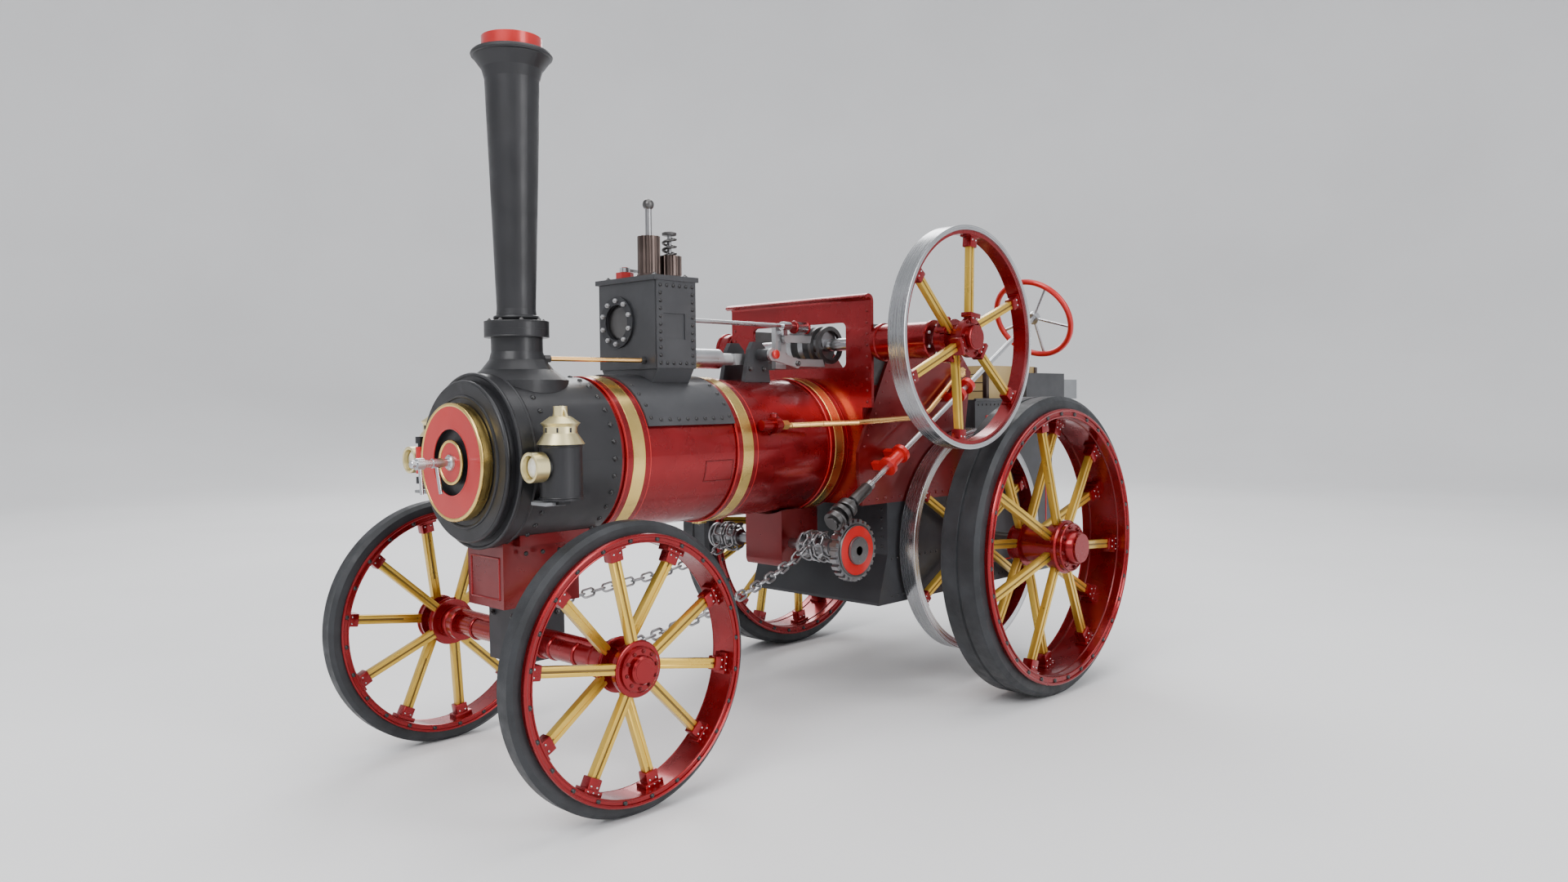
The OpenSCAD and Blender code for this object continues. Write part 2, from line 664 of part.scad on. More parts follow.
module motion_bracket() color("#4a4a4e") place() difference() {
    for (s = [-1, 1]) union() {
        side_sheet(s > 0 ? 7.2 : -10.2, s > 0 ? 10.2 : -7.2, [
            [arm_y - 12, boiler_z + 30], [arm_y + 9, boiler_z + 30], [arm_y + 5.6, arm_z + 3],
            [arm_y + 1.6, arm_z + 7], [arm_y - 4.4, arm_z + 7], [arm_y - 7, arm_z + 3]
        ]);
        if (s > 0) rod_x(10.1, arm_x0 - 0.4, arm_y, arm_z, 3.2);
        if (s > 0) rod_x(arm_x0 - 0.5, arm_x0 + 2, arm_y, arm_z, 1.5);
    }
    rod_y(80, plate_y, 0, boiler_z, barrel_r + seat_gap);
}

module lifting_arm() color("#c9cbce") place() difference() {
    union() {
        rod_x(arm_x0, arm_x0 + 1.7, arm_y, arm_z, 3.4);
        side_sheet(arm_x0, arm_x0 + 1.7, [
            [arm_y - 1, arm_z - 2.8], [link_y + 2, link_pin_z[1] - 3], [link_y + 4, link_pin_z[1] + 1],
            [arm_y + 2, arm_z + 2.8]
        ]);
        rod_x(arm_x0, arm_x0 + 1.7, link_y + 2, link_pin_z[1] - 0.6, 2.6);
    }
    rod_x(arm_x0 - 1, arm_x0 + 3, arm_y, arm_z, 1.5 + fit_gap);
}

// ---- firebox and frame ----

// the plate seen from the side, with its top edge rolled forwards
roll_r = 4;
roll_deg = [0 : 15 : 150];
function arc(y, z, r, angles) = [for (a = angles) [y + r * cos(a), z + r * sin(a)]];

module spectacle_plate() color("#a01216") place() difference() {
    union() {
        side_sheet(-horn_x - 4.4, horn_x + 4.4, concat(
            [[plate_y, crank_z - 35], [plate_y1, crank_z - 35]],
            arc(plate_y1 - roll_r, lip_z - 3, roll_r, roll_deg),
            arc(plate_y1 - roll_r, lip_z - 3, roll_r - plate_t, [150 : -15 : 0])
        ));
        box(-horn_x + plate_t, horn_x - plate_t, plate_y, plate_y1, tank_z1, crank_z - 34.5);
    }
    translate([0, plate_y1 + 1, 0]) rotate([90, 0, 0]) linear_extrude(plate_t + 2)
        polygon(concat(
            arc(window_x - 3, window_z1 - 3, 3, [0 : 15 : 90]),
            arc(-window_x + 3, window_z1 - 3, 3, [90 : 15 : 180]),
            arc(-window_x + 3, window_z0 + 3, 3, [180 : 15 : 270]),
            arc(window_x - 3, window_z0 + 3, 3, [270 : 15 : 360])
        ));
}

module firebox() color("#8c1013") place() {
    firebox_shell();
    rod_z(boiler_z - 15, boiler_z - 1, -14.5, firebox_y1 + 2.3, 0.9);
    for (z = [boiler_z - 15.5, boiler_z - 2.6])
        box(-16, -13, firebox_y1 - 0.1, firebox_y1 + 3.8, z, z + 2.1);
}

module firebox_shell() difference() {
    box(-horn_x + plate_t + 0.05, horn_x - plate_t - 0.05, plate_y1 + 0.05, firebox_y1,
        tank_z1 + 0.1, boiler_z + 33);
    box(-horn_x + plate_t + 3, horn_x - plate_t - 3, plate_y1 + 3, firebox_y1 - 3,
        tank_z1 - 1, boiler_z + 30);
    rod_y(firebox_y1 - 5, firebox_y1 + 1, 0, boiler_z - 8, 9);
}

module hornplates() color("#a01216") place() both() {
    side_sheet(horn_x - plate_t, horn_x, [
        [plate_y - 2.6, tank_z1], [plate_y - 6, boiler_z - 13], [plate_y - 6, boiler_z - 3],
        [plate_y + 3, boiler_z + 15], [crank_y + 12, crank_z - 10.6], [crank_y + 18, crank_z + 8],
        [rear_axle_y - 16, crank_z + 8], [rear_axle_y + 6, crank_z - 15],
        [rear_axle_y, boiler_z + 8], [rear_axle_y, tank_z1]
    ]);
}

// one block with its bearing housing, which reaches outwards to x_end
module bearing(x_end) difference() {
    union() {
        box(bearing_x0, horn_x - plate_t - 0.05, plate_y1 + 0.05, crank_y + 17,
            boiler_z + 33.1, crank_z + 10.4);
        rod_x(bearing_x0 + 1, housing_x0 + 1, crank_y, crank_z, 5.2);
        rod_x(housing_x0, x_end, crank_y, crank_z, housing_r);
    }
    rod_x(bearing_x0 - 1, x_end + 1, crank_y, crank_z, shaft_r + fit_gap);
}

module bearing_blocks() color("#2f2f33") place() {
    bearing(housing_x1);
    mirror([1, 0, 0]) bearing(far_housing_x1);
}

module fire_door() color("#2f2f33") place() difference() {
    union() {
        rod_y(firebox_y1 + 0.3, firebox_y1 + 2.3, 0, boiler_z - 8, 11.5);
        box(-14, -8, firebox_y1 + 0.5, firebox_y1 + 2.1, boiler_z - 11, boiler_z - 5);
        rod_z(boiler_z - 13, boiler_z - 3, -14.5, firebox_y1 + 2.3, 1.9);
        box(7, 9.4, firebox_y1 + 1.5, firebox_y1 + 6.5, boiler_z - 9.2, boiler_z - 6.8);
    }
    rod_z(boiler_z - 20, boiler_z + 5, -14.5, firebox_y1 + 2.3, 0.9 + fit_gap);
}

module belly_tank() color("#3a3a3f") place() difference() {
    side_sheet(-body_x, body_x, [
        [tank_y0, tank_z1 - 0.05], [tank_y0, tank_z1 - 29], [tank_y0 - 8, tank_z0 + 1.5],
        [tank_y0 - 8, tank_z0], [tank_y1, tank_z0], [tank_y1, tank_z1 - 0.05]
    ]);
    rod_x(-body_x - 1, body_x + 1, rear_axle_y, rear_axle_z, rear_shaft_r + fit_gap);
}

module chain_bracket() color("#8c1013") place() difference() {
    union() {
        box(-14, 14, plate_y - 29, plate_y - 0.02, barrel_z - 9, boiler_z - 25);
        rod_x(-14, 14, plate_y - 24, barrel_z - 9, 5);
    }
    box(-15, 15, plate_y - 40, plate_y, barrel_z - 20, barrel_z - 12.5);
    rod_y(80, plate_y + 1, 0, boiler_z, band_r + seat_gap);
    rod_x(-20, 20, barrel_y, barrel_z, barrel_shaft_r + fit_gap);
}

module tender_body() color("#4b4c52") place() {
    difference() {
        union() {
            box(-body_x, body_x, tank_y1 + 0.1, tender_rear_y, tank_z0, tender_z1);
            box(-body_x, body_x, tender_rear_y - 32, tender_rear_y + 16, tender_z1 - 0.1, coping_z);
        }
        box(-body_x + 3, body_x - 3, tank_y1 - 1, tank_y1 + 24, tank_z0 + 40, tender_z1 + 1);
        box(-locker_x - 0.2, locker_x + 0.2, tender_rear_y - 40, tender_rear_y - 5.8,
            tender_z1, coping_z + 1);
        box(-body_x + 2, body_x - 2, tender_rear_y - 3.8, tender_rear_y + 14,
            tender_z1 + 2, coping_z + 1);
    }
    box(-body_x, body_x, tender_rear_y + 15.9, rear_end_y, tender_z1, coping_z - 4);
}

module tender_locker() color("#a58b52") place() difference() {
    box(-locker_x, locker_x, tank_y1 + 26, tender_rear_y - 6, tender_z1 + 0.05, locker_z);
    box(-locker_x + 2, locker_x - 2, tank_y1 + 28, tender_rear_y - 8, tender_z1 + 6, locker_z + 1);
}

module drawbar() color("#2f2f33") place() difference() {
    union() {
        box(-9, 9, tender_rear_y + 0.05, tender_rear_y + 3, tank_z0 + 2, tank_z0 + 22);
        box(-6, 6, tender_rear_y + 2.5, tender_rear_y + 16, tank_z0 + 9, tank_z0 + 15);
        rod_z(tank_z0 + 9, tank_z0 + 15, 0, tender_rear_y + 16, 6);
    }
    rod_z(tank_z0, tank_z0 + 30, 0, tender_rear_y + 16, tow_bore_r);
}

module feed_pipe() color("#c77b3a") place() {
    check = [barrel_r + 1.6, 123, boiler_z + 12.6];
    run_x = horn_x + 2.8;
    pipe([
        check + [0.4, 4, 0], [check[0] + 1.6, 134, check[2] - 0.4],
        [(check[0] + run_x) / 2, 152, boiler_z + 12.6], [run_x, plate_y - 10, boiler_z + 13],
        [run_x, 228, boiler_z + 14.8], [run_x, 236, boiler_z + 18.8],
        [run_x, 262, boiler_z + 37.6], [run_x, 266.5, boiler_z + 41]
    ], 1.5);
    rod_x(horn_x + 0.02, run_x + 2.2, 266, boiler_z + 40.6, 3);
    difference() {
        union() {
            rod_y(check[1] - 9, check[1] + 6, check[0], check[2], 2.7);
            rod_y(check[1] - 1, check[1] + 2.4, check[0], check[2], 4.4);
            bar(check - [5, 0, 2], check, 3);
        }
        rod_y(80, plate_y, 0, boiler_z, barrel_r + 0.05);
    }
}

// ---- steering ----

module steering_column() color("#b0b2b5") place() {
    on_column(-9) cylinder(h = column_len + 9, r = column_r);
    for (s = [-7.4, -1.4, 4.6]) on_column(s) cylinder(h = 2.6, r = s < 0 && s > -3 ? worm_r : worm_r - 0.6);
    on_column(-9) cylinder(h = 18, r = 3.6);
    on_column(12) cylinder(h = 16, r = 2.7);
}

module steering_wheel() color("#c01a1c") place() on_column(column_len) {
    rotate_extrude() translate([steer_wheel_r, 0]) circle(r = 1.8);
    cylinder(h = 2.2, r = 3.4);
    for (a = [0 : 72 : 288]) rotate([0, 0, a + 18]) translate([2.8, 0, 0.9]) rotate([0, 90, 0])
        cylinder(h = steer_wheel_r - 4, r = 0.9);
}

module steering_brackets() color("#b81418") place() difference() {
    union() {
        on_column(tube_s0) cylinder(h = 2.4, r = 5.2);
        on_column(tube_s0) cylinder(h = tube_s1 - tube_s0, r = 3.4);
        on_column(tube_s1 - 2.4) cylinder(h = 2.4, r = 5.2);
        for (s = [tube_s0, tube_s1 - 3]) on_column(s)
            translate([horn_x - column_x + 0.05, -2.2, 0]) cube([column_x - horn_x - 2.6, 4.4, 3]);
        for (s = [upper_tube_s, upper_tube_s + 10]) {
            on_column(s) cylinder(h = 3, r = 4.6);
            on_column(s) translate([horn_x - column_x + 0.05, 0, 0]) cube([column_x - horn_x - 2.6, 4, 3]);
        }
    }
    on_column(tube_s0 - 10) cylinder(h = 120, r = column_r + fit_gap);
}

module chain_barrel() color("#6a6b70") place() {
    rod_x(-50, column_x + 2.4, barrel_y, barrel_z, barrel_shaft_r);
    for (x = [24, -46]) {
        rod_x(x, x + 20, barrel_y, barrel_z, drum_r);
        rod_x(x, x + 1.4, barrel_y, barrel_z, drum_r + 2.6);
    }
    rod_x(column_x - 4.6, column_x + 0.4, barrel_y, barrel_z, worm_wheel_r - 1.6);
    rod_x(column_x, column_x + 2.6, barrel_y, barrel_z, 7.2);
    translate([0, barrel_y, barrel_z]) for (i = [0 : worm_wheel_teeth - 1])
        rotate([i * 360 / worm_wheel_teeth, 0, 0])
            box(column_x - 4.4, column_x, -1.1, 1.1, worm_wheel_r - 3, worm_wheel_r);
}

// ring of 8 points round a path point, in the plane across the path
function ring(p, d, r) = let (
        f = d / norm(d),
        a = cross(f, [0, 0, 1]) / norm(cross(f, [0, 0, 1])),
        b = cross(a, f)
    ) [for (k = [0 : 7]) p + r * cos(45 * k) * a + r * sin(45 * k) * b];

module swept(path, r) {
    n = len(path);
    rings = [for (i = [0 : n - 1]) ring(path[i], path[min(i + 1, n - 1)] - path[max(i - 1, 0)], r)];
    points = [for (q = rings) each q];
    sides = [for (i = [0 : n - 2], k = [0 : 7])
        [8 * i + k, 8 * i + (k + 1) % 8, 8 * i + 8 + (k + 1) % 8, 8 * i + 8 + k]];
    polyhedron(points, concat([[for (k = [7 : -1 : 0]) k]], sides, [[for (k = [0 : 7]) 8 * n - 8 + k]]));
}

module steering_chains() color("#8d8f92") place() {
    swept(chain_points(1), chain_r);
    mirror([1, 0, 0]) swept(chain_points(-1), chain_r);
}

module front_axle() color("#b81418") place() {
    rod_x(-front_hub_x0 + 0.4, front_hub_x0 - 0.4, 0, axle_z, axle_r);
    rod_x(-front_hub_x0 + 6, front_hub_x0 - 6, 0, axle_z + 5.6, 2);
    both() {
        rod_x(front_hub_x0 - 8, front_hub_x0 - 0.4, 0, axle_z, axle_r + 2.4);
        rod_x(front_hub_x0 - 1, front_hub_x1 - 1.4, 0, axle_z, spindle_r);
        difference() {
            box(hook_x - 2, hook_x + 2, 3, hook_y + 4, hook_z - 1.5, hook_z + 1.5);
            rod_z(hook_z - 3, hook_z + 3, hook_x, hook_y + 1.4, 1.1);
        }
    }
}

module pivot_block() color("#3a3a3f") place() {
    difference() {
        box(-12, 12, -12, 12, axle_z - 7.2, pivot_z1 - part_gap);
        rod_x(-13, 13, 0, axle_z, axle_r + 0.02);
        rod_x(-13, 13, 0, axle_z + 5.6, 2.02);
    }
    rod_z(pivot_z1 - 1, pivot_z1 + 12, 0, 0, 3.5);
}

module perch_bracket() color("#a01216") place() difference() {
    union() {
        box(-perch_x, perch_x, perch_y0, perch_y1, pivot_z1, boiler_z - 30);
        box(-perch_x - 4, perch_x + 4, perch_y0 + 6, perch_y1 + 8, boiler_z - 37, boiler_z - 30);
    }
    smokebox_space(seat_gap);
    rod_z(pivot_z1 - 1, pivot_z1 + 12.6, 0, 0, 3.5 + fit_gap);
}

// ---- wheels ----

module front_wheel() place() translate([0, 0, axle_z]) {
    color("#2b2d31") difference() {
        turned_x(0, 0) polygon([
            [front_rim_r + 0.02, front_tyre_x], [front_r - 1.8, front_tyre_x],
            [front_r, front_tyre_x + 1.6], [front_r, front_tyre_x + front_tyre_w - 1.6],
            [front_r - 1.8, front_tyre_x + front_tyre_w], [front_rim_r + 0.02, front_tyre_x + front_tyre_w]
        ]);
    }
    color("#b81418") front_wheel_metal();
    color("#cfa92e") front_spoke_set();
}

module front_wheel_metal() {
    difference() {
        rod_x(front_rim_x0, front_rim_x1, 0, 0, front_rim_r);
        rod_x(front_rim_x0 - 1, front_rim_x1 + 1, 0, 0, front_rim_in_r);
    }
    clamps(front_spokes, front_spoke_deg, front_rim_in_r - 6, front_rim_in_r + 1, front_mid_x, 4.6, 5.6);
    difference() {
        union() {
            rod_x(front_hub_x0, front_hub_x1 - 3, 0, 0, 7.6);
            rod_x(front_hub_x0 + 1.6, front_hub_x0 + 5.6, 0, 0, 11);
            rod_x(front_rim_x1 - 5.4, front_rim_x1 - 1.4, 0, 0, 11);
            rod_x(front_hub_x1 - 4, front_hub_x1, 0, 0, 4.6);
        }
        rod_x(front_hub_x0 - 1, front_hub_x1 - 1.2, 0, 0, spindle_r + fit_gap);
    }
}

module front_spoke_set() difference() {
    spokes(front_spokes, front_spoke_deg, 6, front_rim_in_r - 5.5, [front_rim_x1 - 3.4, front_hub_x0 + 3.6],
           front_mid_x, 3.8, 2.2);
    rod_x(0, 200, 0, 0, 7);
}

module front_wheel_near() front_wheel();

module front_wheel_far() mirror([1, 0, 0]) front_wheel();

module rear_tyres() color("#2b2d31") place() translate([0, rear_axle_y, rear_axle_z]) both()
    turned_x(0, 0) polygon([
        [rear_rim_r + 0.02, rear_tyre_x], [rear_r - 2.4, rear_tyre_x],
        [rear_r, rear_tyre_x + 2], [rear_r, rear_tyre_x + rear_tyre_w / 2 - 1],
        [rear_r - 0.9, rear_tyre_x + rear_tyre_w / 2 - 0.4],
        [rear_r - 0.9, rear_tyre_x + rear_tyre_w / 2 + 0.4],
        [rear_r, rear_tyre_x + rear_tyre_w / 2 + 1], [rear_r, rear_tyre_x + rear_tyre_w - 2],
        [rear_r - 2.4, rear_tyre_x + rear_tyre_w], [rear_rim_r + 0.02, rear_tyre_x + rear_tyre_w]
    ]);

clamp_x = [rear_mid_x + 4.6, rear_mid_x - 4.6];
clamp_lag = [8, 8 - 180 / rear_spoke_pairs];
hub_flange_x = [rear_rim_x1 - 3.6, rear_rim_x0 + 3.4];

module rear_rims() color("#b81418") place() translate([0, rear_axle_y, rear_axle_z]) both() {
    difference() {
        rod_x(rear_rim_x0, rear_rim_x1, 0, 0, rear_rim_r);
        rod_x(rear_rim_x0 - 1, rear_rim_x1 + 1, 0, 0, rear_rim_in_r);
    }
    for (i = [0, 1]) clamps(rear_spoke_pairs, clamp_lag[i], rear_rim_in_r - 7, rear_rim_in_r + 1,
                            clamp_x[i], 5.4, 6.4);
    difference() {
        union() {
            rod_x(rear_rim_x0 - 3, rear_rim_x1 + 1, 0, 0, 10.6);
            for (x = hub_flange_x) rod_x(x - 2.4, x + 2.4, 0, 0, 13);
            rod_x(rear_rim_x1 + 0.6, rear_rim_x1 + 4.6, 0, 0, 13.5);
            rod_x(rear_rim_x1 + 4, rear_hub_x1, 0, 0, 8);
        }
        rod_x(0, rear_rim_x1, 0, 0, rear_shaft_r + 0.02);
    }
}

module rear_spokes() color("#cfa92e") place() translate([0, rear_axle_y, rear_axle_z]) both() difference() {
    for (i = [0, 1]) spokes(rear_spoke_pairs, clamp_lag[i], 9, rear_rim_in_r - 7 - end_gap,
                            [hub_flange_x[i]], clamp_x[i], 4.2, 2.4);
    rod_x(0, 200, 0, 0, 13.05);
}

module rear_axle() color("#9a9c9f") place()
    rod_x(-rear_rim_x1 + 0.02, rear_rim_x1 - 0.02, rear_axle_y, rear_axle_z, rear_shaft_r);

module final_wheel() color("#a9abae") place() translate([0, rear_axle_y, rear_axle_z]) difference() {
    union() {
        difference() {
            rod_x(final_x0, final_x1, 0, 0, final_r);
            rod_x(final_x0 - 1, final_x1 + 1, 0, 0, final_r - 4.4);
        }
        clamps(6, 60, final_r - 10, final_r - 4, (final_x0 + final_x1) / 2, 5, 5);
        spokes(6, 60, 6, final_r - 9, [(final_x0 + final_x1) / 2], (final_x0 + final_x1) / 2, 3.8, 2.6);
        rod_x(final_x0 - 0.4, final_x1 + 4, 0, 0, 11);
    }
    rod_x(0, 200, 0, 0, rear_shaft_r + 0.02);
}

smokebox();
door_plate();
door_ring();
dart_handle();
lock_handle();
chimney();
chimney_cap();
chimney_saddle();
boiler_barrel();
boiler_bands();
lamp_bodies();
lamp_tops();
cylinder_saddle();
cylinder_block();
cylinder_cover();
blower_pipe();
valve_turrets();
lift_rod();
valve_spring();
regulator_fitting();
regulator_lever();
trunk_guide();
crosshead();
connecting_rod();
crankshaft();
flywheel_rim();
flywheel_wheel();
flywheel_spokes();
valve_rod();
expansion_link();
eccentric_rod_upper();
eccentric_rod_lower();
motion_bracket();
lifting_arm();
spectacle_plate();
firebox();
hornplates();
bearing_blocks();
fire_door();
belly_tank();
chain_bracket();
tender_body();
tender_locker();
drawbar();
feed_pipe();
steering_column();
steering_wheel();
steering_brackets();
chain_barrel();
steering_chains();
front_axle();
pivot_block();
perch_bracket();
front_wheel_near();
front_wheel_far();
rear_tyres();
rear_rims();
rear_spokes();
rear_axle();
final_wheel();
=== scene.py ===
"""Materials, lights, camera and surface detail for the model traction engine."""
from math import atan2, cos, degrees, hypot, pi, radians, sin

import bmesh
import bpy
from mathutils import Matrix, Vector
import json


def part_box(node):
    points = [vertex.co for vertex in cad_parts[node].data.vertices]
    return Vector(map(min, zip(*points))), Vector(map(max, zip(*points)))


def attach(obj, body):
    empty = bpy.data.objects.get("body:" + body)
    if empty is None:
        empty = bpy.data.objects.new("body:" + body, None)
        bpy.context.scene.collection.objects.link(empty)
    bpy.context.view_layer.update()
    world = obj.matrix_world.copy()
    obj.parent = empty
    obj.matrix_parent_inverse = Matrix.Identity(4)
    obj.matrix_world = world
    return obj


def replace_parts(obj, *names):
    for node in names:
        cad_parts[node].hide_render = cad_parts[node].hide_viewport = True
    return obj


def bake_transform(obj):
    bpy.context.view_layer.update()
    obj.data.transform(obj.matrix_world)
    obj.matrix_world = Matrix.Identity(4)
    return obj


MM = 0.001
FRONT_SPOKES, REAR_SPOKES, WHEEL_SPOKES = 10, 7, 6
FRONT_RIM_W, REAR_RIM_W = 13.1, 28.2  # rim widths
VALVE_X, LAMP_X = 14, 49.5  # the valve rod's and the lamps' distance from the middle
LINK_PITCH, WOUND_R = 6, 6.3  # chain link spacing, and the radius at which the chain winds
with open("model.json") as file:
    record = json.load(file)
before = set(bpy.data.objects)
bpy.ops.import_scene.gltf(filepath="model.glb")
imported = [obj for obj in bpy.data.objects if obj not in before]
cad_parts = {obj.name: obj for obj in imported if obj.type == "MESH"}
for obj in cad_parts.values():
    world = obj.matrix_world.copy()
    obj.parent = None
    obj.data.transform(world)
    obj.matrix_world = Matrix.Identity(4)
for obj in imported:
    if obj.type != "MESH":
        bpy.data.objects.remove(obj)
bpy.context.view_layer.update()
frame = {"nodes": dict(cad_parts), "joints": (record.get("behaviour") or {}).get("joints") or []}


# ---- materials ----

def new_material(name):
    """A material with its Principled shader, node maker and linker."""
    material = bpy.data.materials.new(name)
    material.use_nodes = True
    nodes = material.node_tree.nodes
    return material, nodes, material.node_tree.links, nodes["Principled BSDF"]


def noise(nodes, links, scale, detail=4.0):
    """Noise in metres of object space."""
    where = nodes.new("ShaderNodeTexCoord")
    texture = nodes.new("ShaderNodeTexNoise")
    texture.inputs["Scale"].default_value = scale
    texture.inputs["Detail"].default_value = detail
    links.new(where.outputs["Object"], texture.inputs["Vector"])
    return texture.outputs["Fac"]


def spread(nodes, links, value, low, high, at=(0.35, 0.65)):
    """Maps a noise value onto the range from low to high."""
    mapper = nodes.new("ShaderNodeMapRange")
    mapper.inputs["From Min"].default_value = at[0]
    mapper.inputs["From Max"].default_value = at[1]
    mapper.inputs["To Min"].default_value = low
    mapper.inputs["To Max"].default_value = high
    links.new(value, mapper.inputs["Value"])
    return mapper.outputs["Result"]


def vary_colour(nodes, links, shader, value, first, second, at=(0.35, 0.65)):
    """Blends the base colour from first to second by a noise value."""
    ramp = nodes.new("ShaderNodeValToRGB")
    ramp.color_ramp.elements[0].position = at[0]
    ramp.color_ramp.elements[1].position = at[1]
    ramp.color_ramp.elements[0].color = (*first, 1)
    ramp.color_ramp.elements[1].color = (*second, 1)
    links.new(value, ramp.inputs["Fac"])
    links.new(ramp.outputs["Color"], shader.inputs["Base Color"])


def add_bump(nodes, links, shader, value, strength, distance):
    """Raises the surface a little by a noise value."""
    bump = nodes.new("ShaderNodeBump")
    bump.inputs["Strength"].default_value = strength
    bump.inputs["Distance"].default_value = distance
    links.new(value, bump.inputs["Height"])
    links.new(bump.outputs["Normal"], shader.inputs["Normal"])


def paint(name, light, dark, rough, metallic=0.0, coat=0.4, grain=3200, strength=0.05):
    """Sprayed paint: faint mottling, fine orange peel and uneven gloss."""
    material, nodes, links, shader = new_material(name)
    shader.inputs["Metallic"].default_value = metallic
    shader.inputs["Coat Weight"].default_value = coat
    shader.inputs["Coat Roughness"].default_value = 0.12
    mottle = noise(nodes, links, 38)
    vary_colour(nodes, links, shader, mottle, dark, light)
    links.new(spread(nodes, links, noise(nodes, links, 90), rough - 0.06, rough + 0.08),
              shader.inputs["Roughness"])
    add_bump(nodes, links, shader, noise(nodes, links, grain), strength, 0.0002)
    return material


def metal(name, light, dark, rough):
    """Bare metal: fine machining grain and patches of duller polish."""
    material, nodes, links, shader = new_material(name)
    shader.inputs["Metallic"].default_value = 1.0
    patches = noise(nodes, links, 55)
    vary_colour(nodes, links, shader, patches, dark, light)
    grain = noise(nodes, links, 4200, 3.0)
    dulled = noise(nodes, links, 70)
    links.new(spread(nodes, links, dulled, rough - 0.05, rough + 0.07), shader.inputs["Roughness"])
    add_bump(nodes, links, shader, grain, 0.04, 0.0002)
    return material


def rubber(name):
    """Solid rubber tyre: dull, faintly dusty and finely pitted."""
    material, nodes, links, shader = new_material(name)
    shader.inputs["Specular IOR Level"].default_value = 0.4
    vary_colour(nodes, links, shader, noise(nodes, links, 60, 8), (0.012, 0.013, 0.015),
                (0.026, 0.028, 0.032))
    links.new(spread(nodes, links, noise(nodes, links, 140), 0.42, 0.62), shader.inputs["Roughness"])
    add_bump(nodes, links, shader, noise(nodes, links, 1500, 2), 0.22, 0.0003)
    return material


def lens(name):
    """Slightly smoky lamp glass with a ripple."""
    material, nodes, links, shader = new_material(name)
    shader.inputs["Metallic"].default_value = 0.0
    shader.inputs["Coat Weight"].default_value = 0.8
    vary_colour(nodes, links, shader, noise(nodes, links, 300), (0.55, 0.52, 0.42), (0.8, 0.77, 0.66))
    links.new(spread(nodes, links, noise(nodes, links, 200), 0.05, 0.16), shader.inputs["Roughness"])
    add_bump(nodes, links, shader, noise(nodes, links, 260), 0.2, 0.0005)
    return material


RED = paint("red_paint", (0.27, 0.003, 0.007), (0.225, 0.002, 0.005), 0.27, 0.75, 0.4)
DEEP_RED = paint("deep_red_paint", (0.165, 0.002, 0.004), (0.13, 0.0015, 0.003), 0.32, 0.6)
BRIGHT_RED = paint("bright_red_paint", (0.55, 0.010, 0.009), (0.46, 0.007, 0.007), 0.34, 0.25)
BLACK = paint("black_paint", (0.022, 0.022, 0.025), (0.015, 0.015, 0.017), 0.42, 0.3, 0.08, 3600, 0.16)
RIVET_BLACK = paint("rivet_black", (0.008, 0.008, 0.009), (0.004, 0.004, 0.005), 0.30, 0.0, 0.15)
GROOVE = paint("groove_shadow", (0.20, 0.12, 0.02), (0.14, 0.08, 0.012), 0.5, 0.3, 0.1)
GREY = paint("grey_paint", (0.060, 0.061, 0.066), (0.046, 0.047, 0.052), 0.46, 0.4, 0.1, 3200, 0.14)
DARK_GREY = paint("dark_grey_paint", (0.030, 0.031, 0.036), (0.022, 0.023, 0.027), 0.45, 0.3, 0.1,
                  3200, 0.14)
PALE_GREY = paint("pale_grey_paint", (0.23, 0.24, 0.25), (0.18, 0.185, 0.195), 0.5, 0.3, 0.1, 3200, 0.12)
YELLOW = paint("yellow_paint", (0.72, 0.47, 0.07), (0.60, 0.38, 0.05), 0.32, 0.7, 0.3, 2600, 0.08)
TAN = paint("tan_paint", (0.50, 0.37, 0.17), (0.40, 0.28, 0.12), 0.5, 0.2, 0.1, 1500, 0.14)
STEEL = metal("polished_steel", (0.60, 0.61, 0.63), (0.52, 0.53, 0.55), 0.26)
SATIN_STEEL = metal("satin_steel", (0.58, 0.58, 0.59), (0.50, 0.50, 0.51), 0.46)
MID_STEEL = metal("mid_steel", (0.33, 0.33, 0.34), (0.26, 0.26, 0.27), 0.36)
DARK_STEEL = metal("dark_steel", (0.13, 0.127, 0.127), (0.09, 0.087, 0.087), 0.4)
BRONZED = metal("bronzed_steel", (0.13, 0.098, 0.088), (0.09, 0.067, 0.060), 0.33)
BRASS = metal("brass", (0.80, 0.58, 0.20), (0.70, 0.49, 0.155), 0.25)
PALE_BRASS = metal("pale_brass", (0.84, 0.74, 0.42), (0.74, 0.63, 0.33), 0.34)
COPPER = metal("copper", (0.90, 0.54, 0.20), (0.82, 0.46, 0.16), 0.25)
TYRE = rubber("tyre_rubber")
GLASS = lens("lamp_glass")
# Near-black matt paint for the plug in the chimney's mouth: painted shade inside the bore.
BORE_SHADE = paint("bore_shade", (0.012, 0.012, 0.013), (0.006, 0.006, 0.007), 0.8, 0.0, 0.0, 600, 0.3)

SLOT_OF = {
    RED: "red_paint", DEEP_RED: "red_paint", BRIGHT_RED: "red_paint", BLACK: "black_paint",
    RIVET_BLACK: "black_paint", GREY: "grey_paint", DARK_GREY: "grey_paint",
    PALE_GREY: "grey_paint", YELLOW: "yellow_paint", GROOVE: "yellow_paint", TAN: "brass",
    STEEL: "polished_steel", SATIN_STEEL: "polished_steel", MID_STEEL: "dark_steel",
    DARK_STEEL: "dark_steel",
    BRONZED: "dark_steel", BRASS: "brass", PALE_BRASS: "brass", COPPER: "copper",
    TYRE: "tyre", GLASS: "polished_steel", BORE_SHADE: "black_paint",
}

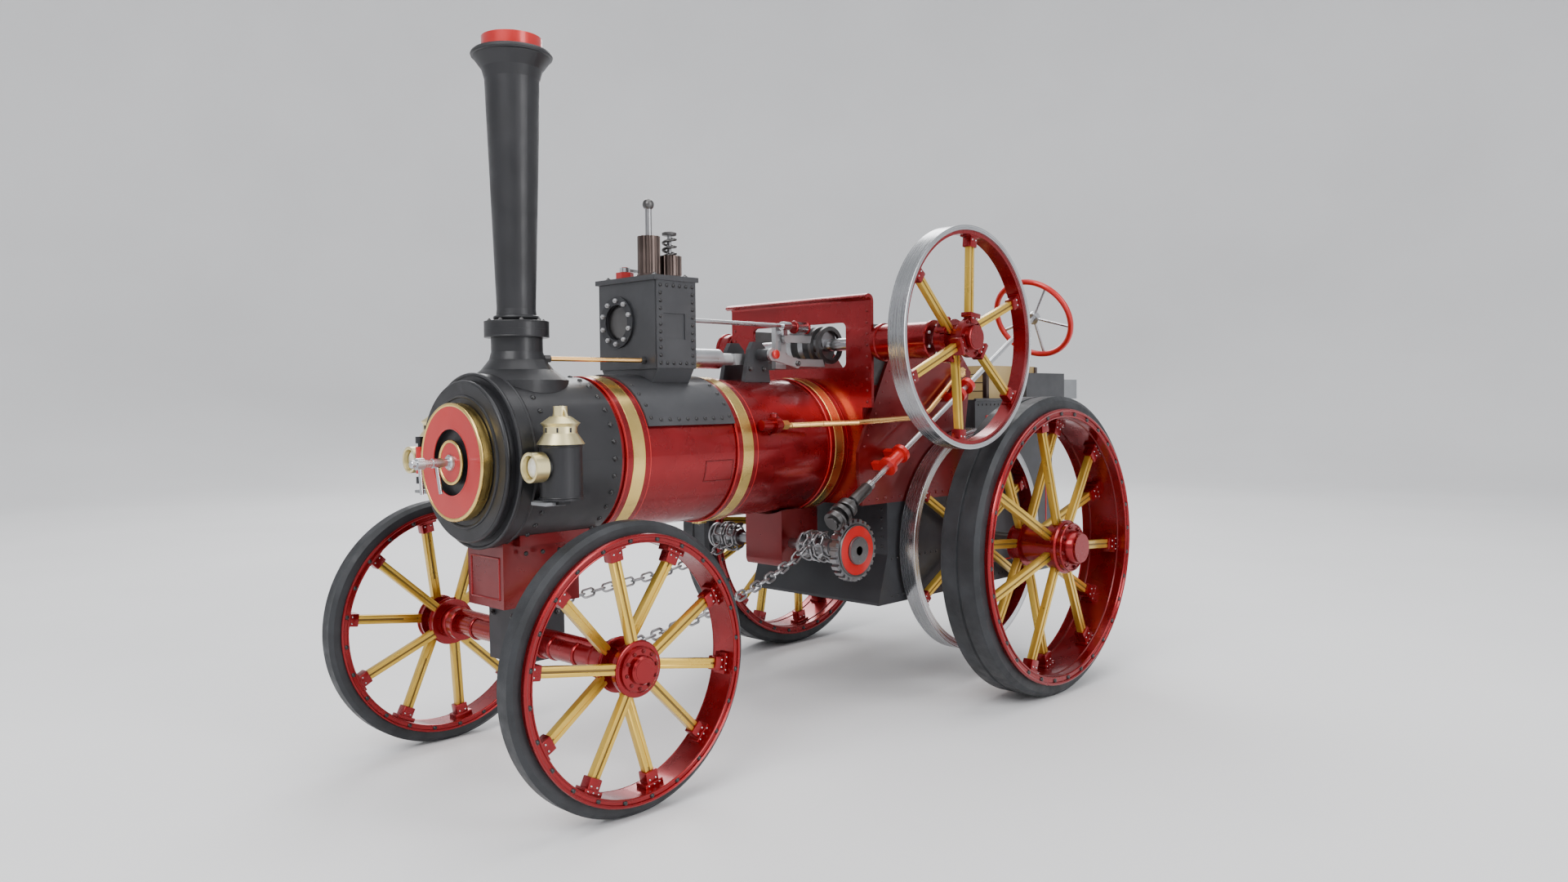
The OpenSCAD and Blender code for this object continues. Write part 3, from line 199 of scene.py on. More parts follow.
NODE_MATERIAL = {
    BLACK: "smokebox chimney chimney_saddle lamp_bodies fire_door",
    BRIGHT_RED: "door_plate chimney_cap regulator_fitting steering_wheel steering_brackets",
    BRASS: "door_ring boiler_bands",
    STEEL: "dart_handle lock_handle lift_rod regulator_lever trunk_guide crankshaft flywheel_rim "
           "valve_rod steering_column",
    RED: "boiler_barrel flywheel_wheel spectacle_plate bearing_blocks front_axle front_wheel_near "
         "front_wheel_far rear_rims final_wheel",
    PALE_BRASS: "lamp_tops",
    GREY: "cylinder_saddle cylinder_block motion_bracket",
    DARK_GREY: "cylinder_cover belly_tank tender_body pivot_block",
    COPPER: "blower_pipe feed_pipe",
    BRONZED: "valve_turrets",
    DARK_STEEL: "valve_spring drawbar rear_axle",
    SATIN_STEEL: "crosshead expansion_link eccentric_rod_upper eccentric_rod_lower lifting_arm",
    MID_STEEL: "connecting_rod chain_barrel",
    YELLOW: "flywheel_spokes rear_spokes",
    DEEP_RED: "firebox hornplates chain_bracket perch_bracket",
    TAN: "tender_locker",
    TYRE: "rear_tyres",
}

NODES = frame["nodes"]
BOXES = {name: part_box(name) for name in NODES}


def box(node):
    """The lowest and highest corners of a CAD node, in millimetres."""
    low, high = BOXES[node]
    return low / MM, high / MM


def middle(node):
    """The centre of a CAD node's box."""
    low, high = box(node)
    return (low + high) / 2


def paint_node(node, choose):
    """Gives each face of a CAD node the material that choose(centre, normal) returns, in millimetres."""
    mesh = NODES[node].data
    mesh.materials.clear()
    places = {}
    for face in mesh.polygons:
        material = choose(face.center / MM, face.normal)
        if material not in places:
            places[material] = len(places)
            mesh.materials.append(material)
        face.material_index = places[material]


def radius_from(centre, point):
    """How far point is from a line along x through centre."""
    return hypot(point.y - centre.y, point.z - centre.z)


for node_material, node_names in NODE_MATERIAL.items():
    for node_name in node_names.split():
        NODES[node_name].data.materials.clear()
        NODES[node_name].data.materials.append(node_material)

for cad_object in NODES.values():
    cad_object.data.shade_smooth()
    cad_object.data.set_sharp_from_angle(angle=radians(34))

crank = middle("flywheel_rim")
front_low, front_high = box("front_wheel_near")
front_hub = Vector((front_high.x, (front_low.y + front_high.y) / 2, (front_low.z + front_high.z) / 2))
front_tyre_r = (front_high.z - front_low.z) / 2
rear = middle("rear_tyres")
rear_high = box("rear_tyres")[1]
rear_rim_r = (box("rear_rims")[1].z - box("rear_rims")[0].z) / 2
final = middle("final_wheel")
final_low, final_high = box("final_wheel")
final_r = (final_high.z - final_low.z) / 2
band_low, band_high = box("boiler_bands")
boiler = (band_low + band_high) / 2
band_r = (band_high.z - band_low.z) / 2
smoke_high = box("smokebox")[1]
door_low, door_high = box("door_plate")
front_rim_r = front_tyre_r - 5.3
front_rim_in_r = front_rim_r - 3.2


def front_wheel_look(point, normal):
    """Tyre outside the rim, yellow between the hub and the clamps, red elsewhere."""
    r = radius_from(front_hub, point)
    if r > front_rim_r + 0.005:
        return TYRE
    return YELLOW if 11.3 < r < front_rim_in_r - 6.1 else RED


def turned_steel(name, centre):
    """Steel turned in a lathe: fine rings about a line along x through centre."""
    material, nodes, links, shader = new_material(name)
    shader.inputs["Metallic"].default_value = 1.0
    where = nodes.new("ShaderNodeTexCoord")
    parts = nodes.new("ShaderNodeSeparateXYZ")
    flat = nodes.new("ShaderNodeCombineXYZ")
    reach = nodes.new("ShaderNodeVectorMath")
    reach.operation = "DISTANCE"
    reach.inputs[1].default_value = (0, centre.y * MM, centre.z * MM)
    rings = nodes.new("ShaderNodeCombineXYZ")
    texture = nodes.new("ShaderNodeTexNoise")
    texture.inputs["Scale"].default_value = 1600
    links.new(where.outputs["Object"], parts.inputs["Vector"])
    links.new(parts.outputs["Y"], flat.inputs["Y"])
    links.new(parts.outputs["Z"], flat.inputs["Z"])
    links.new(flat.outputs["Vector"], reach.inputs[0])
    links.new(parts.outputs["X"], rings.inputs["X"])
    links.new(reach.outputs["Value"], rings.inputs["Y"])
    links.new(rings.outputs["Vector"], texture.inputs["Vector"])
    vary_colour(nodes, links, shader, noise(nodes, links, 40), (0.46, 0.47, 0.49), (0.56, 0.57, 0.59))
    links.new(spread(nodes, links, texture.outputs["Fac"], 0.17, 0.32), shader.inputs["Roughness"])
    add_bump(nodes, links, shader, texture.outputs["Fac"], 0.12, 0.0002)
    return material


FLYWHEEL_STEEL = turned_steel("flywheel_steel", crank)
FINAL_STEEL = turned_steel("final_wheel_steel", final)
SLOT_OF[FLYWHEEL_STEEL] = SLOT_OF[FINAL_STEEL] = "polished_steel"
paint_node("flywheel_rim", lambda point, normal: FLYWHEEL_STEEL)


def final_wheel_look(point, normal):
    """Steel tread and edges, red inside the rim, yellow spokes, red hub."""
    r = radius_from(final, point)
    if r > final_r - 0.6 or (r > final_r - 4.2 and abs(normal.x) > 0.9):
        return FINAL_STEEL
    if 11.3 < r < final_r - 10.4:
        return YELLOW
    return RED


def door_look(point, normal):
    """A black recess between the two red faces of the smokebox door."""
    r = hypot(point.x - boiler.x, point.z - boiler.z)
    sunk = point.y > door_low.y + 0.3
    return BLACK if sunk and 8 < r < 15.2 and point.y < door_high.y - 0.1 else BRIGHT_RED


def steering_wheel_look(point, normal):
    """Red ring, steel spokes and boss."""
    centre = middle("steering_wheel")
    return BRIGHT_RED if (point - centre).length > 23.3 else STEEL


def crankshaft_look(point, normal):
    """Dark throws and eccentrics between the plates, bright shaft ends."""
    return MID_STEEL if abs(point.x) < 20 else STEEL


def column_look(point, normal):
    """A dark worm at the foot of a bright column."""
    along_y = point.y - box("steering_column")[0].y
    return DARK_STEEL if along_y < 17 else STEEL


def lift_rod_look(point, normal):
    """A dark ball on a steel rod."""
    return DARK_STEEL if point.z > box("lift_rod")[1].z - 4.6 else MID_STEEL


def eccentric_rod_look(point, normal):
    """Pale rods with dark straps about the crankshaft."""
    return DARK_STEEL if radius_from(crank, point) < 11.5 else SATIN_STEEL


def feed_pipe_look(point, normal):
    """A copper pipe with a red check valve on the barrel."""
    return RED if point.y < box("feed_pipe")[0].y + 14.9 else COPPER


def bearing_look(point, normal):
    """Dark blocks inside the plates and red housings outside them."""
    return RED if abs(point.x) > 49 else DARK_STEEL


def tender_look(point, normal):
    """A pale shelf at the very back of the dark tender."""
    back = box("tender_body")[1].y
    return PALE_GREY if point.y > back - 17.2 else GREY


LOOKS = {
    "front_wheel_near": front_wheel_look, "front_wheel_far": front_wheel_look,
    "final_wheel": final_wheel_look, "door_plate": door_look, "steering_wheel": steering_wheel_look,
    "feed_pipe": feed_pipe_look, "bearing_blocks": bearing_look, "crankshaft": crankshaft_look,
    "steering_column": column_look, "lift_rod": lift_rod_look,
    "eccentric_rod_upper": eccentric_rod_look, "eccentric_rod_lower": eccentric_rod_look,
    "tender_body": tender_look,
}
for node_name, look in LOOKS.items():
    paint_node(node_name, look)

# Edge bevel widths in millimetres.
BEVELLED = {
    "cylinder_block": 0.5, "tender_body": 0.7, "tender_locker": 0.6, "belly_tank": 0.8,
    "hornplates": 0.4, "spectacle_plate": 0.3, "perch_bracket": 0.5, "chain_bracket": 0.6,
    "pivot_block": 0.6, "motion_bracket": 0.3, "drawbar": 0.4, "expansion_link": 0.3,
    "connecting_rod": 0.3, "fire_door": 0.3, "bearing_blocks": 0.4, "regulator_lever": 0.2,
    "crosshead": 0.25, "lifting_arm": 0.25, "eccentric_rod_upper": 0.25, "eccentric_rod_lower": 0.25,
}
for node_name, width in BEVELLED.items():
    bevel = NODES[node_name].modifiers.new("edge", "BEVEL")
    bevel.width = width * MM
    bevel.segments = 2
    bevel.limit_method = "ANGLE"
    bevel.angle_limit = radians(50)
    bevel.harden_normals = False


# ---- mesh helpers ----

class Piece:
    """Collects faces in millimetres, with their materials, and becomes one object on a body."""

    def __init__(self, name):
        self.name = name
        self.mesh = bmesh.new()
        self.materials = []

    def slot(self, material):
        if material not in self.materials:
            self.materials.append(material)
        return self.materials.index(material)

    def rings(self, rings, material, closed=False, caps=True):
        """Skins a list of rings, each with the same number of points."""
        index = self.slot(material)
        made = [[self.mesh.verts.new(point) for point in ring] for ring in rings]
        count = len(made[0])
        pairs = list(zip(made, made[1:] + (made[:1] if closed else [])))
        if not closed:
            pairs = pairs[:len(made) - 1]
        for first, second in pairs:
            for k in range(count):
                face = self.mesh.faces.new((first[k], first[(k + 1) % count],
                                            second[(k + 1) % count], second[k]))
                face.material_index = index
                face.smooth = True
        if caps and not closed:
            for ring in (made[0][::-1], made[-1]):
                self.mesh.faces.new(ring).material_index = index

    def turned(self, profile, centre, axis, material, sides=24, closed=False):
        """Turns [distance along the axis, radius] points about the axis through centre."""
        side, up = across(axis)
        rings = []
        for along, radius in profile:
            middle_point = centre + axis * along
            rings.append([middle_point + side * radius * cos(a) + up * radius * sin(a)
                          for a in angles(sides)])
        self.rings(rings, material, closed)

    def rivet(self, point, normal, radius, material, sides=8):
        """A round head that stands on a surface."""
        profile = [(-0.2 * radius, radius), (0.25 * radius, radius * 0.94),
                   (0.55 * radius, radius * 0.66), (0.7 * radius, radius * 0.25)]
        self.turned(profile, point, normal, material, sides)

    def nut(self, point, normal, radius, material, height=None):
        """A hexagonal nut with the end of its stud."""
        h = height or radius * 0.9
        profile = [(-0.1 * h, radius), (0.8 * h, radius), (h, radius * 0.86)]
        self.turned(profile, point, normal, material, 6)
        self.turned([(h * 0.9, radius * 0.5), (h * 1.4, radius * 0.5), (h * 1.55, radius * 0.3)],
                    point, normal, material, 8)

    def tube(self, path, radius, material, sides=10, closed=False):
        """A round tube along a path."""
        count = len(path)
        rings = []
        up = None
        for i, point in enumerate(path):
            before = path[(i - 1) % count] if closed or i else point
            after = path[(i + 1) % count] if closed or i < count - 1 else point
            ahead = (after - before).normalized()
            if up is None:
                side, up = across(ahead)
            side = up.cross(ahead).normalized()
            up = ahead.cross(side).normalized()
            rings.append([point + side * radius * cos(a) + up * radius * sin(a)
                          for a in angles(sides)])
        self.rings(rings, material, closed)

    def slab(self, centre, half, material, turn=None, bevel=0.0):
        """A box with softened edges, turned by a matrix."""
        matrix = Matrix.Translation(centre) @ (turn.to_4x4() if turn else Matrix.Identity(4))
        made = bmesh.ops.create_cube(self.mesh, size=2.0, matrix=matrix @ Matrix.Diagonal((*half, 1)))
        faces = {face for vert in made["verts"] for face in vert.link_faces}
        index = self.slot(material)
        for face in faces:
            face.material_index = index
        if bevel:
            edges = list({edge for face in faces for edge in face.edges})
            result = bmesh.ops.bevel(self.mesh, geom=edges, offset=bevel, segments=2, profile=0.6,
                                     affect="EDGES", clamp_overlap=True)
            for face in result["faces"]:
                face.material_index = index

    def finish(self, body=None):
        """Makes the object, in metres."""
        bmesh.ops.scale(self.mesh, vec=(MM, MM, MM), verts=self.mesh.verts)
        bmesh.ops.recalc_face_normals(self.mesh, faces=self.mesh.faces)
        data = bpy.data.meshes.new(self.name)
        self.mesh.to_mesh(data)
        self.mesh.free()
        data.shade_smooth()
        data.set_sharp_from_angle(angle=radians(38))
        for material in self.materials:
            data.materials.append(material)
        piece = bpy.data.objects.new(self.name, data)
        bpy.context.scene.collection.objects.link(piece)
        if body:
            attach(piece, body)
        return piece


def angles(count, start=0.0, sweep=2 * pi):
    """Evenly spaced angles, in radians."""
    return [start + sweep * k / count for k in range(count)]


def across(axis):
    """Two unit vectors at right angles to axis and to each other."""
    helper = Vector((0, 0, 1)) if abs(axis.z) < 0.9 else Vector((1, 0, 0))
    side = axis.cross(helper).normalized()
    return side, axis.cross(side).normalized()


X = Vector((1, 0, 0))
Y = Vector((0, 1, 0))
Z = Vector((0, 0, 1))


def around_x(centre, radius, angle, x):
    """A point at an angle about a line along x; 0 is straight up, and it turns towards -y."""
    return Vector((x, centre.y - radius * sin(angle), centre.z + radius * cos(angle)))


def around_y(radius, angle, y):
    """A point at an angle about the boiler's axis; 0 is straight up."""
    return Vector((boiler.x + radius * sin(angle), y, boiler.z + radius * cos(angle)))


def ring_x(centre, radius, x, count=96):
    """A ring of points about a line along x."""
    return [around_x(centre, radius, a, x) for a in angles(count)]


# ---- wheels ----

def spoke_turn(angle, lean):
    """Turns local z outwards along a spoke at an angle about x, leaned towards x."""
    return Matrix.Rotation(angle, 3, "X") @ Matrix.Rotation(lean, 3, "Y")


def grooved_spoke(piece, centre, angle, r0, r1, x0, x1, width, thick):
    """A flat spoke whose two faces each carry a pair of raised rails with a groove between."""
    lean = atan2(x1 - x0, r1 - r0)
    turn = spoke_turn(angle, lean)
    start = Vector((x0, centre.y, centre.z)) + Matrix.Rotation(angle, 3, "X") @ (Z * r0)
    length = hypot(x1 - x0, r1 - r0)
    mid = start + turn @ (Z * length / 2)
    piece.slab(mid, (thick * 0.42, width * 0.1, length / 2), GROOVE, turn)
    for side in (-1, 1):
        piece.slab(mid + turn @ (Y * side * width * 0.3), (thick * 0.56, width * 0.2, length / 2),
                   YELLOW, turn, 0.3)


def clamp_block(piece, centre, angle, r0, r1, x, half_x, half_y, outward, white=True):
    """A red clamp at a spoke's outer end, with a cap and small pale rivets."""
    turn = Matrix.Rotation(angle, 3, "X")
    place = Vector((x, centre.y, centre.z)) + turn @ (Z * (r0 + r1) / 2)
    piece.slab(place, (half_x, half_y, (r1 - r0) / 2), RED, turn, 0.6)
    piece.slab(Vector((x, centre.y, centre.z)) + turn @ (Z * (r1 - 1.2)),
               (half_x * 1.25, half_y * 1.5, 1.2), RED, turn, 0.4)
    for across_by in (-0.5, 0.5):
        for side in (-1, 1):
            spot = place + turn @ Vector((side * half_x, across_by * half_y, 0))
            piece.rivet(spot, X * side, 0.5, STEEL)
    if white:
        for across_by in (-1.0, 0.0, 1.0):
            spot = Vector((x + outward * half_x * 1.2, centre.y, centre.z)) + turn @ Vector(
                (0, across_by * half_y * 0.9, r1 - 1.3))
            piece.rivet(spot, X * outward, 0.45, STEEL)


def front_wheel(side, body, node):
    """Spokes, clamps, rim beads, rivets and hub of one front wheel."""
    low, high = box(node)
    outer = high.x if side > 0 else -low.x
    face = outer - 2.6
    inner = face - FRONT_RIM_W
    mid = (face + inner) / 2
    clamp_r0 = front_rim_in_r - 6
    piece = Piece(node + "_detail")
    for k, angle in enumerate(angles(FRONT_SPOKES, radians(10))):
        hub_x = (face - 3.4) if k % 2 == 0 else (inner - 1.4)
        grooved_spoke(piece, front_hub, angle, 8, clamp_r0 + 1, side * hub_x, side * mid, 4.3, 2.9)
        clamp_block(piece, front_hub, angle, clamp_r0 - 0.6, front_rim_in_r + 0.3,
                    side * mid, 2.6, 3.1, side)
    for x, bead in ((face, 0.85), (inner, 0.7)):
        piece.tube(ring_x(front_hub, front_rim_r - 0.4, side * x), bead, RED, 8, True)
        piece.tube(ring_x(front_hub, front_rim_in_r + 0.3, side * x), 0.45, RED, 8, True)
    for angle in angles(24, radians(5)):
        for x, out in ((face, side), (inner, -side)):
            piece.rivet(around_x(front_hub, front_rim_r - 1.8, angle, side * x), X * out, 1.15, RIVET_BLACK)
    axis = X * side
    at = Vector((0, front_hub.y, front_hub.z))
    for x in (face - 1.4, inner):
        piece.tube(ring_x(front_hub, 11, side * (x - 0.9), 48), 0.7, RED, 8, True)
    piece.turned([(face - 1.6, 9.4), (face - 0.4, 9.4), (face + 0.3, 8.6)], at, axis, RED, 40)
    piece.turned([(face, 5.9), (outer - 0.9, 5.9), (outer - 0.1, 5.2)], at, axis, RED, 32)
    for angle in angles(10, radians(28)):
        piece.nut(around_x(front_hub, 7.6, angle, side * (face + 0.2)), axis, 0.8, DEEP_RED)
    piece.finish(body)


front_wheel(1, "front_wheel_near", "front_wheel_near")
front_wheel(-1, "front_wheel_far", "front_wheel_far")


def rear_wheel(side):
    """Grooved spokes, clamps, rim lips, rivets and hub of one rear wheel."""
    rim_high = rear_high.x + 2.2
    rim_low = rim_high - REAR_RIM_W
    mid = (rim_high + rim_low) / 2
    in_r = rear_rim_r - 4.2
    piece = Piece("rear_wheel_detail_" + ("near" if side > 0 else "far"))
    rows = ((mid + 4.6, rim_high - 3.6, 8.0), (mid - 4.6, rim_low + 3.4, 8 - 180 / REAR_SPOKES))
    for clamp_x, hub_x, first in rows:
        for angle in angles(REAR_SPOKES, radians(first)):
            grooved_spoke(piece, rear, angle, 11, in_r - 6, side * hub_x, side * clamp_x, 4.9, 3.1)
            clamp_block(piece, rear, angle, in_r - 8, in_r + 0.4, side * clamp_x, 3.0, 3.6, side)
    for x in (rim_high, rim_low):
        piece.tube(ring_x(rear, rear_rim_r - 0.5, side * x, 128), 1.0, RED, 8, True)
        piece.tube(ring_x(rear, in_r + 0.4, side * x, 128), 0.6, RED, 8, True)
    piece.tube(ring_x(rear, in_r, side * (mid + 9), 128), 0.5, DEEP_RED, 8, True)
    piece.tube(ring_x(rear, in_r, side * (mid - 9), 128), 0.5, DEEP_RED, 8, True)
    for angle in angles(32, radians(3)):
        for x, out in ((rim_high, side), (rim_low, -side)):
            piece.rivet(around_x(rear, rear_rim_r - 2.3, angle, side * x), X * out, 1.4, RIVET_BLACK)
    at = Vector((0, rear.y, rear.z))
    axis = X * side
    piece.turned([(rim_high - 0.2, 15), (rim_high + 1.4, 15), (rim_high + 2.2, 14)], at, axis, RED, 48)
    piece.turned([(rim_high + 4, 9.6), (rim_high + 8.6, 9.2), (rim_high + 9.6, 8.4)], at, axis, RED, 40)
    piece.tube(ring_x(rear, 13, side * (rim_high + 4.6), 48), 0.6, RED, 8, True)
    for angle in angles(8, radians(11)):
        piece.nut(around_x(rear, 11.4, angle, side * (rim_high + 4.6)), axis, 1.1, DEEP_RED)
    return piece.finish("rear_axle")


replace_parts(rear_wheel(1), "rear_spokes")
rear_wheel(-1)


def flywheel_detail():
    """Flywheel spokes with sockets, hub nuts and the rim's beaded edges."""
    low, high = box("flywheel_rim")
    radius = (high.z - low.z) / 2
    x0, x1 = low.x, high.x
    mid = (x0 + x1) / 2
    piece = Piece("flywheel_detail")
    for k, angle in enumerate(angles(WHEEL_SPOKES, radians(114))):
        hub_x = (x1 - 2.6) if k % 2 == 0 else (x0 - 0.6)
        grooved_spoke(piece, crank, angle, 6, radius - 8.4, hub_x, mid, 4.3, 2.8)
        clamp_block(piece, crank, angle, radius - 10, radius - 2.6, mid, 2.6, 2.9, 1, False)
    for k, angle in enumerate(angles(WHEEL_SPOKES, radians(114))):
        x = x1 - 1.6 if k % 2 == 0 else x0 - 2
        clamp_block(piece, crank, angle, 7, 12.5, x, 2.4, 3, 1, False)
    for x in (x0, x1):
        piece.tube(ring_x(crank, radius - 0.6, x + (0.5 if x == x0 else -0.5), 128),
                   0.6, FLYWHEEL_STEEL, 8, True)
    at = Vector((0, crank.y, crank.z))
    piece.turned([(x1 - 0.4, 6.4), (x1 + 2.6, 6.2), (x1 + 3.1, 5.4)], at, X, RED, 32)
    for angle in angles(6, radians(144)):
        piece.nut(around_x(crank, 8.4, angle, x1 - 0.2), X, 0.9, DEEP_RED)
    return piece.finish("crank")


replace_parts(flywheel_detail(), "flywheel_spokes")


def final_wheel_detail():
    """Clamp rivets, rim bead and hub nuts of the final drive wheel."""
    piece = Piece("final_wheel_detail")
    mid = (final_low.x + final_high.x - 3.6) / 2
    for angle in angles(WHEEL_SPOKES, radians(60)):
        clamp_block(piece, final, angle, final_r - 11, final_r - 4, mid, 2.8, 3, 1, False)
        grooved_spoke(piece, final, angle, 9, final_r - 10, mid, mid, 4.3, 3.1)
    for x in (final_low.x + 1, final_high.x - 4.6):
        piece.tube(ring_x(final, final_r - 0.7, x, 128), 0.7, FINAL_STEEL, 8, True)
    for angle in angles(8):
        piece.nut(around_x(final, 8.6, angle, final_high.x - 0.1), X, 0.9, DEEP_RED)
    piece.finish("rear_axle")


final_wheel_detail()


# ---- boiler, smokebox and chimney ----

def smokebox_detail():
    """Rivet rows, the front ring's bead, the door's rings and boss, and the handle's knob."""
    piece = Piece("smokebox_detail")
    r = band_r - 0.6
    rows = (smoke_high.y - 4, smoke_high.y - 38)
    for y in rows:
        for angle in angles(30, radians(6)):
            normal = Vector((sin(angle), 0, cos(angle)))
            if y < smoke_high.y - 20 and degrees(angle) < 26:
                continue
            piece.rivet(around_y(r, angle, y), normal, 1.25, RIVET_BLACK)
    for back in (45.6, 52.6):
        piece.tube([around_y(37.7, a, smoke_high.y - back) for a in angles(96)], 0.9, BLACK, 8, True)
    piece.tube([around_y(34.0, a, smoke_high.y - 56.6) for a in angles(96)], 1.3, BLACK, 10, True)
    piece.tube([around_y(28.4, a, smoke_high.y - 57.8) for a in angles(96)], 0.9, BLACK, 8, True)
    piece.finish("chassis")

    door = Piece("door_detail")
    y = door_low.y
    door.tube([around_y(24.7, a, y + 0.6) for a in angles(96)], 0.9, BRASS, 10, True)
    door.tube([around_y(9.1, a, y + 0.2) for a in angles(64)], 0.75, BRASS, 10, True)
    door.tube([around_y(14.6, a, y + 0.15) for a in angles(64)], 0.35, BRIGHT_RED, 8, True)
    centre = Vector((boiler.x, y, boiler.z))
    door.turned([(-0.2, 3.6), (0.9, 3.4), (1.5, 2.7)], centre, -Y, STEEL, 24)
    door.finish("smokebox_door")

    handle = Piece("handle_knobs")
    low = box("dart_handle")[0]
    handle.turned([(0, 1.72), (0.4, 1.4), (0.5, 0.6)], Vector((0, low.y + 0.05, boiler.z)), -Y, STEEL, 16)
    handle.finish("door_dart")


smokebox_detail()


def chimney_detail():
    """Beads round the chimney's flange, neck and rim, and the flange's bolts."""
    piece = Piece("chimney_detail")
    low, high = box("chimney")
    centre = Vector(((low.x + high.x) / 2, (low.y + high.y) / 2, 0))

    def bead(z, radius, thick, material=BLACK):
        piece.tube([centre + Vector((radius * cos(a), radius * sin(a), z)) for a in angles(72)],
                   thick, material, 8, True)

    bead(low.z + 3.2, 13.9, 0.5)
    bead(low.z - 3.2, 13.9, 0.5)
    bead(low.z + 5.2, 9.3, 1.0)
    bead(high.z - 2.2, 16.9, 1.1)
    bead(high.z + 4.8, 12.6, 0.6, BRIGHT_RED)
    for angle in angles(8, radians(22)):
        spot = centre + Vector((12 * cos(angle), 12 * sin(angle), low.z + 3.6))
        piece.nut(spot, Z, 0.95, DARK_STEEL)
    # A near-black plug fills the chimney's mouth: painted shade inside the bore.
    piece.turned([(high.z - 30, 6.5), (high.z + 1, 6.5)], centre, Z, BORE_SHADE, 32)
    piece.finish("chassis")


def boiler_detail():
    """The side panels' raised borders, and the bands' clasps and edge beads."""
    piece = Piece("boiler_detail")
    r = band_r - 1.25
    y0, y1 = band_low.y + 45, band_low.y + 63
    for side in (-1, 1):
        corners = [(radians(96), y0), (radians(96), y1), (radians(112), y1),
                   (radians(112), y0)]
        path = []
        for (a0, ya), (a1, yb) in zip(corners, corners[1:] + corners[:1]):
            for k in range(8):
                t = k / 8
                path.append(around_y(r, side * (a0 + (a1 - a0) * t), ya + (yb - ya) * t))
        piece.tube(path, 0.3, DEEP_RED, 6, True)
    for y in (band_low.y + 3.1, (band_low.y + band_high.y) / 2, band_high.y - 3.1):
        below = around_y(band_r + 0.2, pi, y)
        piece.slab(below, (2.4, 3.1, 0.8), BRASS, None, 0.3)
        piece.nut(below - Z * 0.8, -Z, 0.9, DARK_STEEL)
        for edge in (-1, 1):
            piece.tube([around_y(band_r - 0.25, a, y + edge * 3.2) for a in angles(120)],
                       0.35, BRASS, 6, True)
            piece.tube([around_y(band_r - 0.5, a, y + edge * 6.7) for a in angles(120)],
                       0.45, BRIGHT_RED, 6, True)
    piece.finish("chassis")


chimney_detail()
boiler_detail()


# ---- cylinder ----

def cylinder_detail():
    """Rivets on the side plates, cover bolts and centre disc, nuts on the top and saddle rivets."""
    piece = Piece("cylinder_detail")
    low, high = box("cylinder_block")
    top = high.z
    y0, y1 = low.y + 1.3, high.y - 1.3
    z1 = top - 2.4
    z0 = z1 - 42.2
    for side in (-1, 1):
        x = side * (22.6 if side > 0 else 21.8)
        for k in range(6):
            y = y0 + 2.6 + k * (y1 - y0 - 5.2) / 5
            for z in (z0 + 2.6, z1 - 2.4):
                piece.rivet(Vector((x, y, z)), X * side, 0.95, RIVET_BLACK)
        for k in range(1, 10):
            z = z0 + 2.6 + k * (z1 - z0 - 5) / 10
            for y in (y0 + 2.6, y1 - 2.6):
                piece.rivet(Vector((x, y, z)), X * side, 0.95, RIVET_BLACK)
    cover = middle("cylinder_cover")
    face = box("cylinder_cover")[0].y
    for angle in angles(10, radians(18)):
        spot = Vector((cover.x + 10.6 * cos(angle), face, cover.z + 10.6 * sin(angle)))
        piece.nut(spot, -Y, 1.25, SATIN_STEEL)
    centre = Vector((cover.x, face + 2.6, cover.z))
    piece.turned([(0, 8.5), (0.6, 8.3), (1.0, 7.0), (1.1, 2.0)], centre, -Y, DARK_STEEL, 40)
    for x in (-18, 18):
        for y in (y0 + 3, y1 - 3):
            piece.nut(Vector((x, y, top)), Z, 1.2, DARK_STEEL)
    piece.finish("chassis")

    plate = Piece("saddle_rivets")
    low, high = box("cylinder_saddle")
    r = band_r + 0.8
    for y in (low.y + 2.6, high.y - 2.6):
        for k in range(-6, 7):
            angle = radians(k * 10.4)
            if abs(k) > 2:
                plate.rivet(around_y(r, angle, y), Vector((sin(angle), 0, cos(angle))),
                            1.0, RIVET_BLACK)
    for side in (-1, 1):
        angle = side * radians(64)
        for k in range(1, 9):
            y = low.y + 2.6 + k * (high.y - low.y - 5.2) / 9
            plate.rivet(around_y(r, angle, y), Vector((sin(angle), 0, cos(angle))), 1.0, RIVET_BLACK)
    plate.finish("chassis")


def helix(piece, centre, axis, radius, pitch, turns, thick, material, steps=24, sides=8):
    """A round wire wound along an axis."""
    side, up = across(axis)
    path = []
    for k in range(int(turns * steps) + 1):
        a = 2 * pi * k / steps
        path.append(centre + axis * pitch * k / steps + side * radius * cos(a)
                    + up * radius * sin(a))
    piece.tube(path, thick, material, sides)


